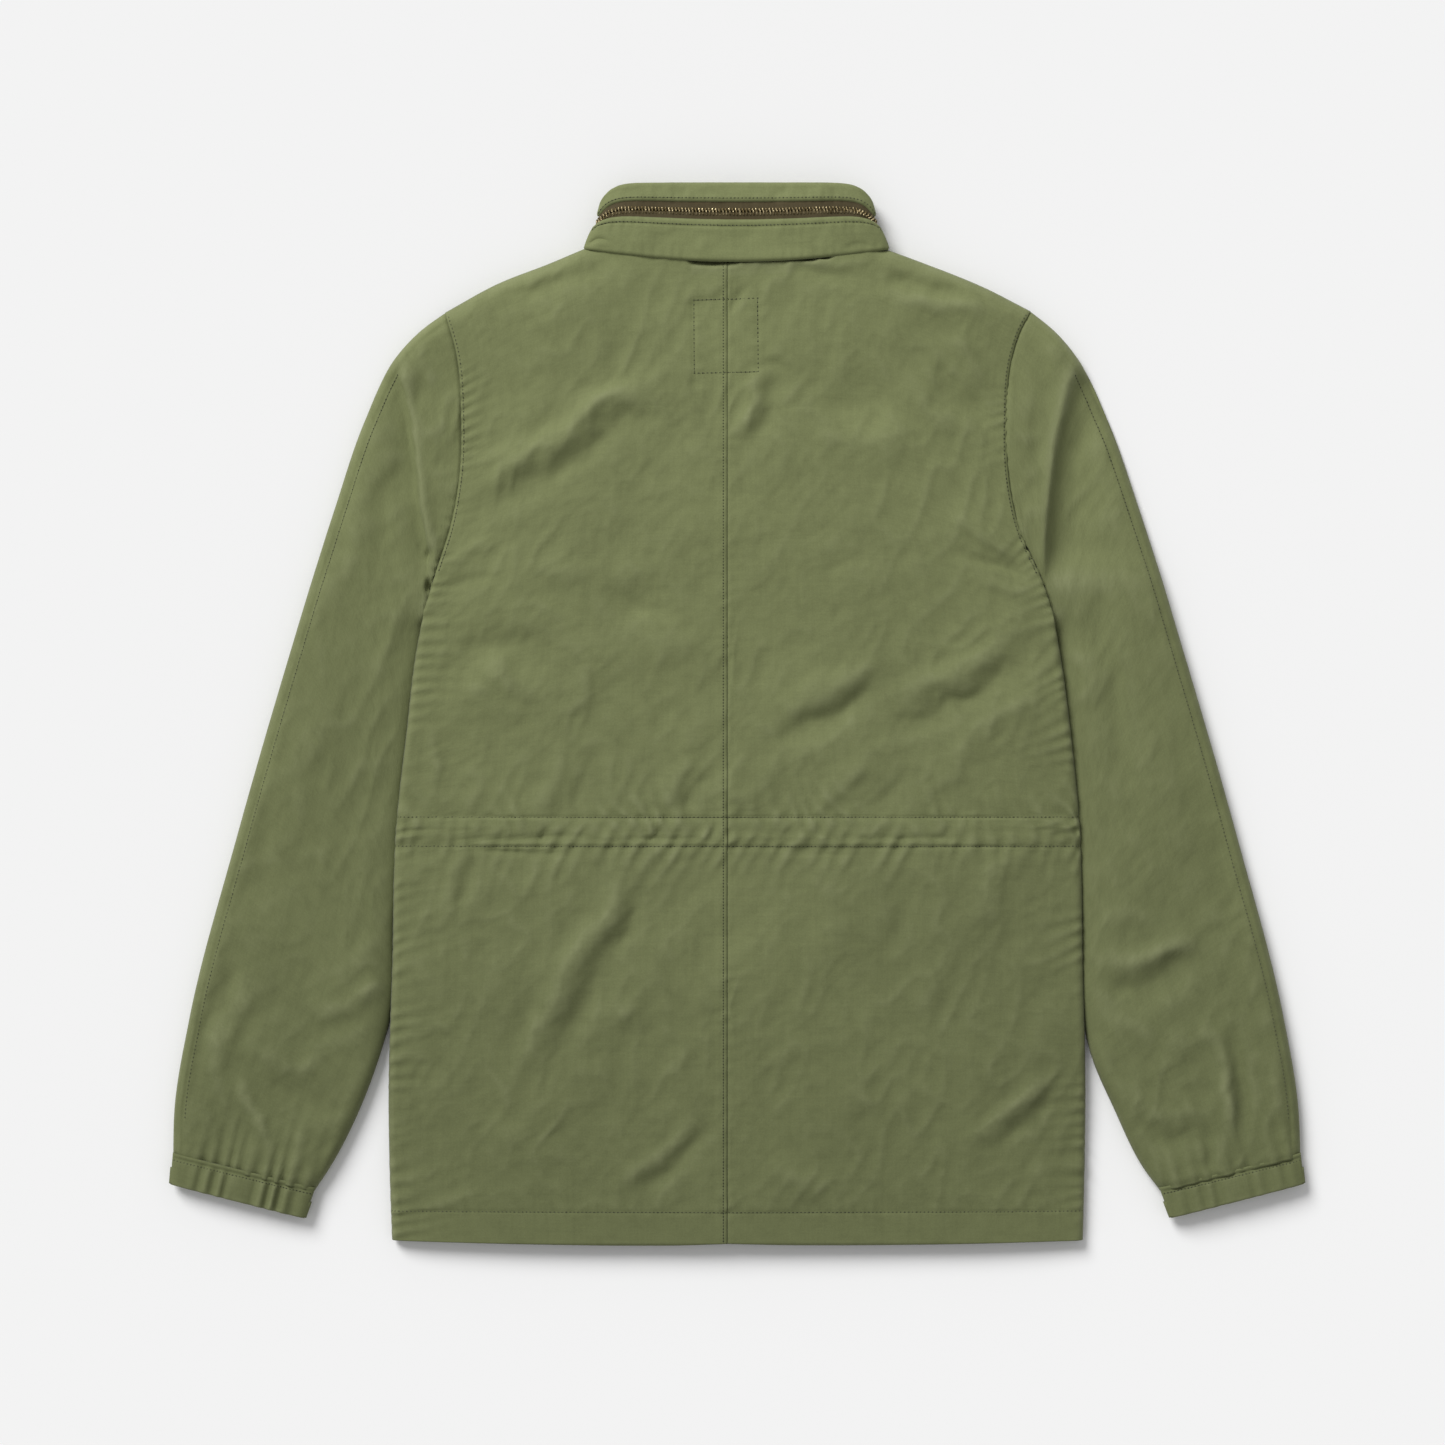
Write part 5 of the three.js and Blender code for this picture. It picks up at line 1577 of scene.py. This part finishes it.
def beadShape(name, around, rings):        # a small closed bead, one unit long
    points = [(0.5, 0, 0), (-0.5, 0, 0)]
    faces = []
    for ring in range(1, rings):
        turn = math.pi * ring / rings
        for k in range(around):
            a = 2 * math.pi * k / around
            across = 0.5 * math.sin(turn)
            points.append((0.5 * math.cos(turn), across * math.cos(a), across * math.sin(a)))
    first, last = 2, 2 + (rings - 2) * around
    for k in range(around):
        nextOne = (k + 1) % around
        faces.append((0, first + k, first + nextOne))
        faces.append((1, last + nextOne, last + k))
        for ring in range(rings - 2):
            a = first + ring * around
            faces.append((a + k, a + around + k, a + around + nextOne, a + nextOne))
    mesh = bpy.data.meshes.new(name)
    mesh.from_pydata(points, [], faces)
    return bpy.data.objects.new(name, mesh)


bead = beadShape("bead", 6, 4)


def surfaceOf(*names):        # finds the upper face of made pieces under a point
    points, faces = [], []
    for name in names:
        mesh = bpy.data.objects[name].data
        start = len(points)
        points += [tuple(v.co) for v in mesh.vertices]
        faces += [tuple(start + k for k in p.vertices) for p in mesh.polygons]
    return BVHTree.FromPolygons(points, faces)


def laidOn(surface, flat):        # lifts a line in x and y to the cloth, with the direction the cloth faces
    line, ups = [], []
    for x, y in np.asarray(flat) * mm:
        hit, normal = surface.ray_cast(Vector((x, y, 0.1)), Vector((0, 0, -1)))[:2]
        if hit is not None and normal.z > 0.3:
            line.append((hit.x / mm, hit.y / mm, hit.z / mm))
            ups.append((normal + Vector((0, 0, 1.5))).normalized()[:])
    return np.array(line), np.array(ups)


def addLine(body, surface, flat, pitch, step=0.9):
    length = np.linalg.norm(np.diff(flat, axis=0), axis=1).sum()
    points, ups = laidOn(surface, evenly(np.asarray(flat, float), np.linspace(0, 1, int(length / step) + 2)))
    stitchPaths[body].append((points, ups, pitch))


def besideLine(line, offset):        # the same line, moved sideways to its left
    tangent = np.gradient(line, axis=0)
    tangent /= np.linalg.norm(tangent, axis=1, keepdims=True)
    return line + offset * np.c_[-tangent[:, 1], tangent[:, 0]]


backSurface = surfaceOf("back_left", "back_right")
for side in ("left", "right"):
    s = sideSign[side]
    addLine("torso", backSurface, besideLine(lines[side]["armhole"], 2.0 * s)[12:-2], stitchLook["pitch"])
    inner = centreX + 1.2 * s
    for level in (backLook["waistUpper"], backLook["waistLower"]):
        addLine("torso", backSurface, [(inner, level), (s * 256, level)], stitchLook["pitch"])
    level = backLook["hemStitch"]
    addLine("torso", backSurface, [(inner, level), (s * 259, level + 0.8)], stitchLook["pitch"])
addLine("torso", backSurface, [(centreX - 3.2, -394), (centreX - 3.2, 337)], stitchLook["closePitch"])
for line in labelLines():
    addLine("torso", backSurface, line, stitchLook["pitch"] + 0.2)


collarSurface = surfaceOf("collar_lower", "collar_upper")        # one line on each side of the zip
for share, wide in ((collarLook["tapeLow"] - 0.06, 0.99), (collarLook["tapeHigh"] + 0.03, 0.985)):
    angle = np.linspace(-0.5, 0.5, 400) * math.pi * wide
    x, y, z = collarPoint(angle, share, 0.0)
    addLine("torso", collarSurface, np.c_[x, y], stitchLook["pitch"] - 0.2)


for side in ("left", "right"):        # along the sleeve's outer seam and round the head of the cuff
    body = side + "_sleeve"
    outer = besideLine(lines[side]["sleeveOuter"], 9.3 if side == "left" else -9.3)[8:-4]
    addLine(body, surfaceOf("sleeve_" + side), outer, stitchLook["pitch"])
    start, end, _, down = cuffFrame(side)
    short = (end - start) * 0.02        # the line stops just short of the cuff's edges
    head = np.array([start + short + down * 2.2, end - short + down * 2.2])
    addLine(body, surfaceOf("cuff_cloth_" + side), head, stitchLook["pitch"] - 0.4)


def makeStitches(body):
    look = stitchLook
    made = []
    for kind, wide, high, material, shift, lift in (
            ("threads", look["thread"], look["threadHigh"], sewingThread, 0.5, look["threadLift"]),
            # the second kind lays the painted-shade discs of the needle holes
            ("holes", look["shadeDotWide"], look["shadeDotHigh"], holeShadeDisc, 0.0, look["shadeDotLift"])):
        for pitch in sorted({path[2] for path in stitchPaths[body]}):
            group = [(points, up) for points, up, p in stitchPaths[body] if p == pitch]
            length = pitch - look["hole"] * 0.75 if kind == "threads" else look["hole"]
            values = {"Shape": bead, "Pitch": pitch * mm, "Start": shift * pitch * mm,
                      "Length": length * mm, "Width": wide * mm, "Height": high * mm,
                      "Unevenness": look["uneven"], "Seed": 3, "Finish": material}
            lifted = [points + lift * up for points, up in group]
            ups = [up for points, up in group]
            made.append(runTree(f"{body}_{kind}_{len(made)}", repeatAlong, lifted, ups, values))
    return made


def bendWithSleeve(piece, side):        # the cloth beside the armhole bends between two widths
    start, end = (sideSign[side] * sleeveLook[key] * mm for key in ("bendFrom", "bendTo"))
    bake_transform(piece, "torso", side + "_sleeve", start=(start, 0, 0), end=(end, 0, 0))


for body in stitchPaths:
    for piece in makeStitches(body):
        if body == "torso":
            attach(piece, "torso")
        else:
            bendWithSleeve(piece, body.split("_")[0])
print("stitches made")


# The metal parts keep their shapes and get the brass finish

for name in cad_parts:
    if any(word in name for word in ("snap_", "slider", "pull", "zip_box")):
        for entry in bpy.data.objects[name].material_slots:
            entry.material = brass
print("metal finished")


# How the sleeves and cuffs follow the folding joints


for side in ("left", "right"):
    piece, grid = sleeves[side]
    bendWithSleeve(piece, side)
    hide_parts("sleeve_top_" + side, "sleeve_under_" + side)
    cuff, cuffGrid = cuffs[side]
    settle(cuff, side + "_sleeve", "shell_cloth", "cuff_" + side, "cuff_elastic_" + side)


# Floor, light and camera

stageLook = dict(
    floor=0.905, floorHalf=6,
    sky=0.435, key=2.9, keyAngle=30, keyTilt=53, keyTurn=36,
    lens=100, sensor=36,
    viewWidth=1.08375,   # metres seen across, at the height of the cloth's edge
    edgeHigh=0.012,
    aimX=-0.0111, aimY=-0.00525,
)


def makeFloor():
    size = stageLook["floorHalf"]
    mesh = bpy.data.meshes.new("floor")
    corners = [(-size, -size, 0), (size, -size, 0), (size, size, 0), (-size, size, 0)]
    mesh.from_pydata(corners, [], [(0, 1, 2, 3)])
    material, _, _, shader = newMaterial("paleFloor")
    shader.inputs["Base Color"].default_value = (stageLook["floor"],) * 3 + (1,)
    shader.inputs["Roughness"].default_value = 1.0
    shader.inputs["Specular IOR Level"].default_value = 0.0
    mesh.materials.append(material)
    floor = bpy.data.objects.new("floor", mesh)
    bpy.context.scene.collection.objects.link(floor)


def makeLights():
    world = bpy.data.worlds.new("studio")
    world.use_nodes = True
    background = world.node_tree.nodes["Background"]
    background.inputs["Color"].default_value = (1, 1, 1, 1)
    background.inputs["Strength"].default_value = stageLook["sky"]
    bpy.context.scene.world = world
    key = bpy.data.lights.new("key", "SUN")
    key.energy = stageLook["key"]
    key.angle = math.radians(stageLook["keyAngle"])
    holder = bpy.data.objects.new("key", key)
    holder.rotation_euler = (math.radians(-stageLook["keyTilt"]), 0, math.radians(stageLook["keyTurn"]))
    bpy.context.scene.collection.objects.link(holder)


def makeCamera():
    camera = bpy.data.cameras.new("camera")
    look = stageLook
    camera.lens = look["lens"]
    camera.sensor_width = look["sensor"]
    holder = bpy.data.objects.new("camera", camera)
    away = look["viewWidth"] * look["lens"] / look["sensor"]
    holder.location = (look["aimX"], look["aimY"], away + look["edgeHigh"])
    camera.clip_end = 50
    bpy.context.scene.collection.objects.link(holder)
    bpy.context.scene.camera = holder


makeFloor()
makeLights()
makeCamera()
bpy.context.scene.view_settings.view_transform = "Standard"
bpy.context.scene.view_settings.look = "None"
print("stage made")
